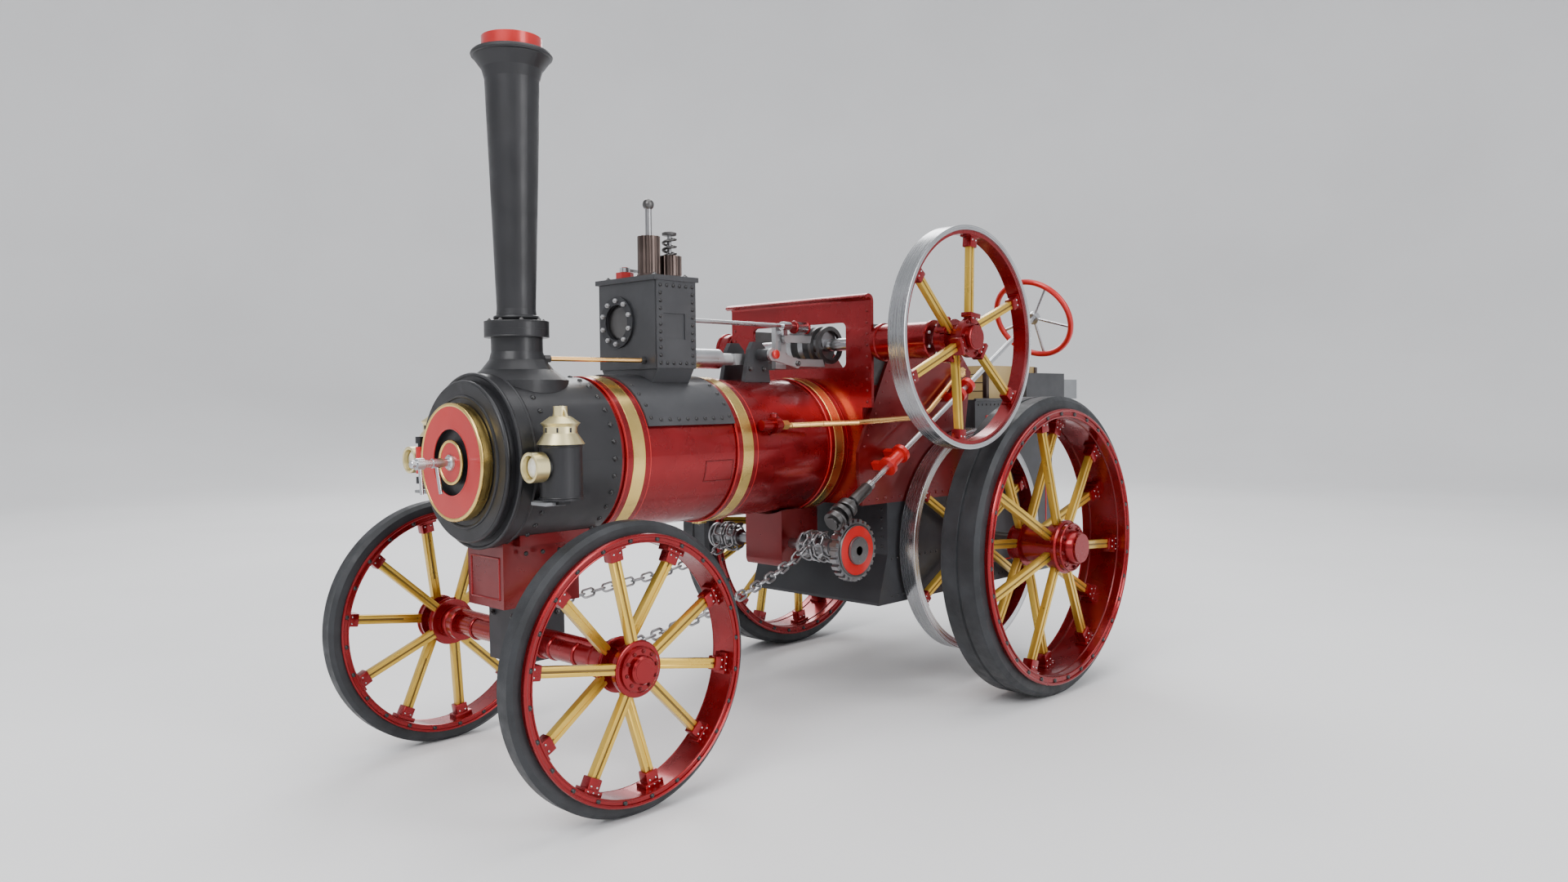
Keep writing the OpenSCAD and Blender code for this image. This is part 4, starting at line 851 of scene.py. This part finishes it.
def safety_valve():
    """The wound spring, its stem and its cap, in place of the plain rings."""
    low, high = box("valve_spring")
    centre = Vector(((low.x + high.x) / 2, (low.y + high.y) / 2, low.z))
    height = high.z - low.z
    piece = Piece("safety_valve_spring")
    coil_z = low.z + 0.9
    helix(piece, Vector((centre.x, centre.y, coil_z)), Z, 3.1, (height - 3.4) / 4.2, 4.2, 0.72, DARK_STEEL)
    piece.turned([(0, 1.1), (height - 1, 1.1)], centre, Z, MID_STEEL, 16)
    piece.turned([(height - 1.8, 3.3), (height - 1.4, 3.6), (height - 0.4, 3.6),
                  (height, 3.0)], centre, Z, DARK_STEEL, 24)
    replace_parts(piece.finish("chassis"), "valve_spring")

    tops = Piece("turret_collars")
    low, high = box("valve_turrets")
    for y, radius, height in ((low.y + 5.5, 5.5, 19.6), (high.y - 6, 6.0, 11.0)):
        spot = Vector(((low.x + high.x) / 2, y, low.z))
        tops.turned([(0, (radius + 0.5)), (1.0, (radius + 0.5)), (1.4, radius)], spot, Z, BRONZED, 32)
        tops.turned([((height - 1.6), radius * 0.9), ((height - 0.4), radius * 0.9),
                     (height, radius * 0.78)], spot, Z, BRONZED, 32)
    tops.finish("chassis")


cylinder_detail()
safety_valve()


# ---- motion ----

def nuts_on(name, body, spots, material=DARK_STEEL):
    """Nuts at (point, normal, radius) spots, on one body."""
    piece = Piece(name)
    for point, normal, radius in spots:
        piece.nut(point, normal, radius, material)
    piece.finish(body)


def motion_detail():
    """Pin ends, oil cups and the big end's bolts."""
    low = box("expansion_link")[0]
    rod_high = box("valve_rod")[1]
    link_y = low.y + 3
    nuts_on("link_pin_nuts", "expansion_link", [(Vector((low.x, link_y + 3.2, low.z + 3.2)), -X, 1.5),
        (Vector((low.x, link_y + 3.2, low.z + 16.4)), -X, 1.5)])
    arm_low, arm_high = box("lifting_arm")
    nuts_on("arm_nuts", "lifting_arm", [
        (Vector((arm_high.x - 0.1, arm_high.y - 2.6, arm_low.z + 2.6)), X, 1.6)])
    bracket = Piece("bracket_bolts")
    b_low, b_high = box("motion_bracket")
    for y in (b_low.y + 4, b_low.y + 14):
        bracket.nut(Vector((10.2, y, b_low.z + 7)), X, 1.3, DARK_STEEL)
        bracket.nut(Vector((-10.2, y, b_low.z + 7)), -X, 1.3, DARK_STEEL)
    bracket.turned([(0, 2.4), (1.3, 2.4), (1.7, 1.6)],
                   Vector((b_high.x - 0.2, b_low.y + 12, b_high.z - 7)), X, BRIGHT_RED, 20)
    bracket.finish("chassis")
    rod = Piece("connecting_rod_detail")
    c_low, c_high = box("connecting_rod")
    for dz in (-1, 1):
        rod.nut(Vector((0, c_high.y - 7.4, (c_low.z + c_high.z) / 2 + dz * 2.0)), Z * dz, 0.8, DARK_STEEL)
    rod.turned([(0, 1.3), (1.6, 1.2), (1.9, 0.5)],
               Vector((0, c_high.y - 3.6, c_high.z - 0.2)), Z, BRASS, 16)
    rod.finish("connecting_rod")
    collar = Piece("valve_rod_collars")
    for y in (rod_high.y - 10.6, rod_high.y - 1.0):
        collar.turned([(-0.5, 3.3), (0, 3.6), (0.6, 3.6), (1.0, 3.2)],
                      Vector((VALVE_X, y, rod_high.z - 3.1)), Y, RED, 24)
    collar.finish("valve_rod")
    gland = Piece("glands")
    block_back = box("cylinder_block")[1].y - 1.3
    trunk = middle("trunk_guide")
    gland.turned([(0, 7.4), (2, 7.4), (2.6, 6.6)],
                 Vector((trunk.x, block_back, trunk.z)), Y, DARK_STEEL, 32)
    for angle in angles(6):
        spot = Vector((trunk.x + 6.4 * cos(angle), block_back + 2.5, trunk.z + 6.4 * sin(angle)))
        gland.nut(spot, Y, 0.7, STEEL)
    gland.turned([(0, 2.6), (4, 2.4), (4.6, 1.9)],
                 Vector((VALVE_X, block_back, rod_high.z - 2.7)), Y, BRASS, 24)
    gland.finish("chassis")


motion_detail()


# ---- plates, tank and tender ----

def rivet_line(piece, start, end, count, normal, radius, material):
    """Rivets evenly spaced from start to end."""
    for k in range(count):
        piece.rivet(start.lerp(end, k / (count - 1)), normal, radius, material)


def plate_rivets():
    """Rivets of the hornplates, spectacle plate, perch bracket, tank and tender."""
    piece = Piece("plate_rivets")
    low, high = box("hornplates")
    x = high.x
    for side in (-1, 1):
        rivet_line(piece, Vector((side * x, low.y + 9, low.z + 3)),
                   Vector((side * x, high.y - 9, low.z + 3)), 14, X * side, 0.9, DEEP_RED)
        rivet_line(piece, Vector((side * x, crank.y + 20.6, high.z - 3)),
                   Vector((side * x, rear.y - 18, high.z - 3)), 9, X * side, 0.9, DEEP_RED)
        rivet_line(piece, Vector((side * x, low.y + 5, low.z + 32)),
                   Vector((side * x, crank.y + 14, crank.z - 15)), 8, X * side, 0.8, DEEP_RED)
    s_high = box("spectacle_plate")[1]
    front = s_high.y - 2
    for side in (-1, 1):
        rivet_line(piece, Vector((side * (s_high.x - 3), front, s_high.z - 9)),
                   Vector((side * (s_high.x - 3), front, crank.z - 32)), 9, -Y, 0.8, DEEP_RED)
    piece.finish("chassis")

    tank = Piece("tank_rivets")
    t_low, t_high = box("belly_tank")
    for side in (-1, 1):
        for z in (t_low.z + 4, t_low.z + 25):
            rivet_line(tank, Vector((side * t_high.x, t_low.y + 12, z)),
                       Vector((side * t_high.x, t_high.y - 4, z)), 16, X * side, 0.85, RIVET_BLACK)
        rivet_line(tank, Vector((side * (t_high.x - 4), t_low.y + 8, t_low.z + 32)),
                   Vector((side * (t_high.x - 4), t_low.y + 8, t_high.z - 4)), 5, -Y, 0.85, RIVET_BLACK)
    rivet_line(tank, Vector((t_low.x + 8, t_low.y + 8, t_high.z - 4)),
               Vector((t_low.x + 30, t_low.y + 8, t_high.z - 4)), 5, -Y, 0.85, RIVET_BLACK)
    tank.finish("chassis")

    tender = Piece("tender_trim")
    b_low, b_high = box("tender_body")
    side_top = b_high.z - 17
    back = b_high.y - 33
    for side in (-1, 1):
        for z in (b_low.z + 4, b_low.z + 56, side_top - 3):
            rivet_line(tender, Vector((side * b_high.x, b_low.y + 4, z)),
                       Vector((side * b_high.x, back - 3, z)), 20, X * side, 0.85, RIVET_BLACK)
        path = [Vector((side * b_high.x, b_low.y, side_top)), Vector((side * b_high.x, back - 32, side_top))]
        tender.tube(path, 0.9, GREY, 8)
        frame_y = (b_low.y + 12, back - 8)
        frame_z = (b_low.z + 12, side_top - 10)
        loop = [Vector((side * b_high.x, frame_y[i], frame_z[j]))
                for i, j in ((0, 0), (1, 0), (1, 1), (0, 1))]
        for first, second in zip(loop, loop[1:] + loop[:1]):
            tender.tube([first, second], 0.45, BRIGHT_RED, 6)
    for z in (b_low.z + 4, b_low.z + 56):
        rivet_line(tender, Vector((b_low.x + 5, back, z)), Vector((b_high.x - 5, back, z)), 16,
                   Y, 0.85, RIVET_BLACK)
    corners = [(b_low.x + 12, b_low.z + 26), (b_high.x - 12, b_low.z + 26),
               (b_high.x - 12, side_top - 10), (b_low.x + 12, side_top - 10)]
    for (xa, za), (xb, zb) in zip(corners, corners[1:] + corners[:1]):
        tender.tube([Vector((xa, back, za)), Vector((xb, back, zb))], 0.45, BRIGHT_RED, 6)
    tender.finish("chassis")

    perch = Piece("perch_trim")
    p_low, p_high = box("perch_bracket")
    y = p_low.y
    half = 14.4
    top = p_low.z + 26
    inset = [(-half + 3, p_low.z + 4), (half - 3, p_low.z + 4), (half - 3, top - 4), (-half + 3, top - 4)]
    for (xa, za), (xb, zb) in zip(inset, inset[1:] + inset[:1]):
        perch.tube([Vector((xa, y, za)), Vector((xb, y, zb))], 0.5, RED, 8)
    for side in (-1, 1):
        rivet_line(perch, Vector((side * (half + 4), y + 9, top - 2)),
                   Vector((side * (half + 4), p_high.y - 4, top - 2)), 5, X * side, 1.1, RIVET_BLACK)
    perch.finish("chassis")


def locker_detail():
    """Board joints and corner straps of the locker."""
    piece = Piece("locker_trim")
    low, high = box("tender_locker")
    for k in range(1, 4):
        z = low.z + k * (high.z - low.z) / 4
        for y in (low.y, high.y):
            piece.tube([Vector((low.x, y, z)), Vector((high.x, y, z))], 0.3, BRONZED, 6)
    for x in (low.x, high.x):
        for y in (low.y, high.y):
            inward = Vector((1.2 if x < 0 else -1.2, 1.2 if y == low.y else -1.2, 0))
            centre = Vector((x, y, (low.z + high.z) / 2)) + inward * 0.5
            piece.slab(centre, (1.5, 1.5, (high.z - low.z) / 2 - 0.3), BRONZED, None, 0.3)
    piece.finish("chassis")


plate_rivets()
locker_detail()


# ---- lamps and pipes ----

def lamp_detail():
    """Lamp glasses, handles, chimney vents, seams and brackets on both sides."""
    low, high = box("lamp_tops")
    can_low, can_high = box("lamp_bodies")
    for side in (-1, 1):
        piece = Piece("lamp_trim_" + ("near" if side > 0 else "far"))
        x = side * LAMP_X
        lamp_y = can_high.y - 8.7
        lens_z = boiler.z - 0.8
        glass = Vector((x, low.y + 2.4, lens_z))
        piece.turned([(-0.8, 4.6), (0.2, 4.4), (0.9, 3.2), (1.2, 1.2)], glass, -Y, GLASS, 28)
        piece.tube([Vector((x + 5.5 * cos(a), low.y + 0.4, lens_z + 5.5 * sin(a)))
                    for a in angles(40)], 0.7, PALE_BRASS, 8, True)
        top = high.z
        loop = [Vector((x + 4.6 * cos(a), lamp_y, top - 5.4 + 5.0 * sin(a)))
                for a in angles(17, 0.0, pi * 17 / 16)]
        piece.tube(loop, 0.6, PALE_BRASS, 8)
        for angle in angles(8):
            spot = Vector((x + 6.9 * cos(angle), lamp_y + 6.9 * sin(angle), top - 9.8))
            piece.slab(spot, (0.4, 0.4, 1.0), BLACK, Matrix.Rotation(angle, 3, "Z"), 0.1)
        for z in (can_low.z + 3.2, top - 16.6):
            piece.tube([Vector((x + 8.6 * cos(a), lamp_y + 8.6 * sin(a), z))
                        for a in angles(48)], 0.4, BLACK, 8, True)
        piece.slab(Vector((x - side * 1, lamp_y - 9, can_low.z + 0.9)),
                   (5.4, 1.6, 0.7), PALE_GREY, None, 0.3)
        piece.slab(Vector((x - side * 8, lamp_y - 1, can_low.z + 0.4)),
                   (8.0, 3.2, 0.8), PALE_GREY, None, 0.3)
        piece.finish("chassis")


def pipe_detail():
    """Union nuts at both ends of the two copper pipes."""
    piece = Piece("pipe_unions")
    low, high = box("blower_pipe")
    z = (low.z + high.z) / 2
    start = Vector((low.x + 1.2, low.y, z))
    end = Vector((high.x - 1.2, high.y, z))
    ahead = (end - start).normalized()
    for k in (3.0, 54.0):
        piece.turned([(-1.6, 1.9), (1.4, 1.9), (1.8, 1.5)], start + ahead * k, ahead, DARK_STEEL, 6)
    f_low, f_high = box("feed_pipe")
    piece.turned([(-2, 2.6), (2, 2.6)], Vector((38.5, f_low.y + 16, boiler.z + 12.6)), Y, BRASS, 6)
    piece.turned([(0, 2.2), (1.6, 2.2), (2.2, 1.2)], Vector((38, f_low.y + 9, boiler.z + 16.6)), Z, RED, 20)
    for angle in angles(4, radians(45)):
        spot = Vector((52.4, f_high.y - 1.8 + 2.2 * cos(angle),
                       boiler.z + 40.6 + 2.2 * sin(angle)))
        piece.rivet(spot + X * 2.1, X, 0.5, BRASS)
    piece.finish("chassis")


lamp_detail()
pipe_detail()


# ---- steering ----

def steering_detail():
    """Worm thread, worm wheel face and boss nut."""
    low, high = box("chain_barrel")
    barrel = Vector((0, (low.y + high.y) / 2, (low.z + high.z) / 2))
    x = high.x - 2
    face = Piece("worm_wheel_face")
    face.turned([(0, 13.2), (0.5, 13.2), (0.6, 12.6)],
                Vector((x - 0.1, barrel.y, barrel.z)), X, BRIGHT_RED, 48)
    face.turned([(0, 7.4), (1.2, 7.4), (1.6, 6.8)], Vector((x, barrel.y, barrel.z)), X, DARK_STEEL, 36)
    face.turned([(1.4, 2.6), (2.0, 2.4)], Vector((x, barrel.y, barrel.z)), X, BLACK, 20)
    face.tube(ring_x(barrel, 13.3, x + 0.2, 64), 0.6, DARK_STEEL, 8, True)
    for angle in angles(6):
        face.rivet(around_x(barrel, 5.4, angle, x + 1.6), X, 0.6, STEEL)
    face.finish("chain_barrel")

    joint = next(j for j in frame["joints"] if j["name"] == "steering_turn")
    start = Vector(joint["pos_m"]) / MM
    axis = Vector(joint["axis"]).normalized()
    worm = Piece("worm_thread")
    helix(worm, start - axis * 7.6, axis, 4.5, 4.2, 3.6, 1.1, DARK_STEEL, 24, 8)
    worm.turned([(11, 3.3), (24, 3.3), (26, 2.2)], start, axis, DARK_STEEL, 24)
    wheel = middle("steering_wheel")
    worm.turned([(-1, 3.8), (2.6, 3.8), (3.6, 3.0)], wheel, axis, STEEL, 24)
    worm.finish("steering")


def chain_route(side, top):
    """The route of one chain, from its drum to its hook on the axle."""
    low, high = box("chain_barrel")
    y = (low.y + high.y) / 2
    z = (low.z + high.z) / 2
    shift = y - 160.8
    points = [(34, 156.8, 89.4 + 5.2 * top), (36, 140, 82 + 3 * top), (38.5, 120, 76.5 + 2 * top),
              (41, 100, 72.5 + top), (43.5, 80, 69.5), (46, 60, 66.5), (48, 42, 64.5), (50, 26, 63),
              (52, 12.4, 61)]
    return [Vector((side * a, b + shift, c + z - 89.4)) for a, b, c in points]


def along(path, distance):
    """The point and direction at a distance along a path."""
    for first, second in zip(path, path[1:]):
        length = (second - first).length
        if distance <= length:
            return first.lerp(second, distance / length), (second - first).normalized()
        distance -= length
    return path[-1], (path[-1] - path[-2]).normalized()


def link(piece, centre, ahead, roll, length=3.7, width=2.1, wire=0.65):
    """One oval chain link, turned by roll about the chain's direction."""
    side, up = across(ahead)
    flat = side * cos(roll) + up * sin(roll)
    path = []
    straight = length - width
    for k in range(16):
        a = 2 * pi * k / 16
        end = straight if cos(a) > 0 else -straight
        path.append(centre + ahead * (end + width * cos(a)) + flat * width * sin(a))
    piece.tube(path, wire, MID_STEEL, 8, True)


def chains():
    """Both chains, link by link, and their turns round the drums."""
    for side, top in ((1, 1), (-1, -1)):
        path = chain_route(side, top)
        total = sum((b - a).length for a, b in zip(path, path[1:]))
        count = int(total / LINK_PITCH)
        piece = Piece("chain_" + ("near" if side > 0 else "far"))
        for k in range(count + 1):
            point, ahead = along(path, total * k / count)
            link(piece, point, ahead, radians(90 * (k % 2) + 20))
        made = piece.finish()
        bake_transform(made)
        if side > 0:
            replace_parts(made, "steering_chains")
    low, high = box("chain_barrel")
    barrel = Vector((0, (low.y + high.y) / 2, (low.z + high.z) / 2))
    wound = Piece("wound_chain")
    for first, last in ((26.5, 43), (-28.5, -44)):
        turns, count = 3, 21
        for k in range(count):
            angle = 2 * pi * turns * k / count
            x = (first + (last - first) * k / count)
            ahead = Vector((0.1, -cos(angle), -sin(angle))).normalized()
            link(wound, around_x(barrel, WOUND_R, angle, x), ahead, radians(90 * (k % 2) + 45),
                 3.4, 2.0, 0.65)
    wound.finish("chain_barrel")


def axle_detail():
    """Ribs, collars and bolts on the front axle and its pivot block."""
    piece = Piece("axle_detail")
    at = Vector((0, front_hub.y, front_hub.z))
    for side in (-1, 1):
        axis = X * side
        for x, radius in ((13, 6.0), (22, 5.6), (40, 5.8), (54.5, 7.9), (60, 8.0)):
            piece.turned([(x, radius * 0.92), ((x + 0.6), radius),
                          ((x + 1.8), radius), ((x + 2.4), radius * 0.92)], at, axis, RED, 32)
    piece.finish("front_axle")
    block = Piece("pivot_bolts")
    p_low = box("pivot_block")[0]
    for side in (-1, 1):
        for y in (-8, 8):
            block.nut(Vector((side * 12, front_hub.y + y, p_low.z + 21)), X * side, 1.3, DARK_STEEL)
        for x in (-8, 8):
            block.nut(Vector((x, front_hub.y + side * 12, p_low.z + 21)), Y * side, 1.3, DARK_STEEL)
    block.finish("front_axle")


def crank_end():
    """End discs and bolts of the crankshaft's bearings."""
    low, high = box("bearing_blocks")
    piece = Piece("bearing_caps")
    for side, end in ((1, high.x), (-1, -low.x)):
        at = Vector((0, crank.y, crank.z))
        for x in (56, end - 2.2):
            piece.turned([(x, 9.7), ((x + 0.5), 10.3), ((x + 1.6), 10.3),
                          ((x + 2.1), 9.7)], at, X * side, RED, 40)
        for angle in angles(6):
            piece.nut(around_x(crank, 7.2, angle, side * end), X * side, 0.9, STEEL)
    piece.finish("chassis")


steering_detail()
chains()
axle_detail()
crank_end()


# ---- floor, light and camera ----

def floor_material():
    """Matt pale floor with a very faint mottle."""
    material, nodes, links, shader = new_material("floor")
    vary_colour(nodes, links, shader, noise(nodes, links, 3), (0.78, 0.78, 0.79), (0.82, 0.82, 0.83))
    shader.inputs["Roughness"].default_value = 0.7
    return material


def studio():
    """A pale round floor that sweeps up into a wall on every side, lit by soft panels."""
    floor = Piece("floor")
    profile = [(0.0005, 0.0), (0.8, 0.0), (1.7, 0.0)]
    profile += [(1.7 + 0.9 * sin(a), 0.9 - 0.9 * cos(a))
                for a in [radians(k * 7.5) for k in range(1, 13)]]
    profile.append((2.6, 2.6))
    rings = [[Vector((r * cos(a), r * sin(a), z - 0.0002)) for a in angles(96)]
             for r, z in profile]
    floor.rings(rings[::-1], floor_material(), False, False)
    data = bpy.data.meshes.new("floor")
    floor.mesh.to_mesh(data)
    floor.mesh.free()
    data.shade_smooth()
    data.materials.append(floor.materials[0])
    ground = bpy.data.objects.new("floor", data)
    bpy.context.scene.collection.objects.link(ground)

    def panel(name, place, size, power, aim=(0, 0, 0.12)):
        light = bpy.data.lights.new(name, "AREA")
        light.shape = "RECTANGLE"
        light.size, light.size_y = size
        light.energy = power
        lamp = bpy.data.objects.new(name, light)
        lamp.location = place
        lamp.rotation_euler = (Vector(aim) - Vector(place)).to_track_quat("-Z", "Y").to_euler()
        bpy.context.scene.collection.objects.link(lamp)

    panel("key_light", (0.4, -1.3, 1.3), (1.0, 0.8), 22)
    panel("side_light", (1.5, 0.1, 0.7), (0.5, 1.2), 13)
    panel("back_light", (-1.2, 0.9, 1.1), (1.0, 0.8), 17)
    panel("top_light", (0.1, 0.1, 1.6), (1.2, 1.2), 13)
    world = bpy.data.worlds.new("studio")
    world.use_nodes = True
    world.node_tree.nodes["Background"].inputs["Color"].default_value = (0.86, 0.88, 0.9, 1)
    world.node_tree.nodes["Background"].inputs["Strength"].default_value = 0.62
    bpy.context.scene.world = world


def camera():
    """The photograph's viewpoint, from its height, bearing, pitch and roll."""
    yaw, pitch, roll = (radians(a) for a in (43.76, -2.21, -0.53))
    ahead = Vector((-sin(yaw) * cos(pitch), cos(yaw) * cos(pitch), sin(pitch)))
    right = ahead.cross(Z).normalized()
    up = right.cross(ahead)
    turned_right = right * cos(roll) + up * sin(roll)
    turned_up = up * cos(roll) - right * sin(roll)
    matrix = Matrix((turned_right, turned_up, -ahead)).transposed().to_4x4()
    matrix.translation = Vector((0.4291, front_hub.y * MM - 0.2780, 0.1689))
    data = bpy.data.cameras.new("camera")
    data.sensor_width = 36
    data.lens = 25.30
    data.clip_start = 0.01
    view = bpy.data.objects.new("camera", data)
    view.matrix_world = matrix
    bpy.context.scene.collection.objects.link(view)
    bpy.context.scene.camera = view


studio()
camera()
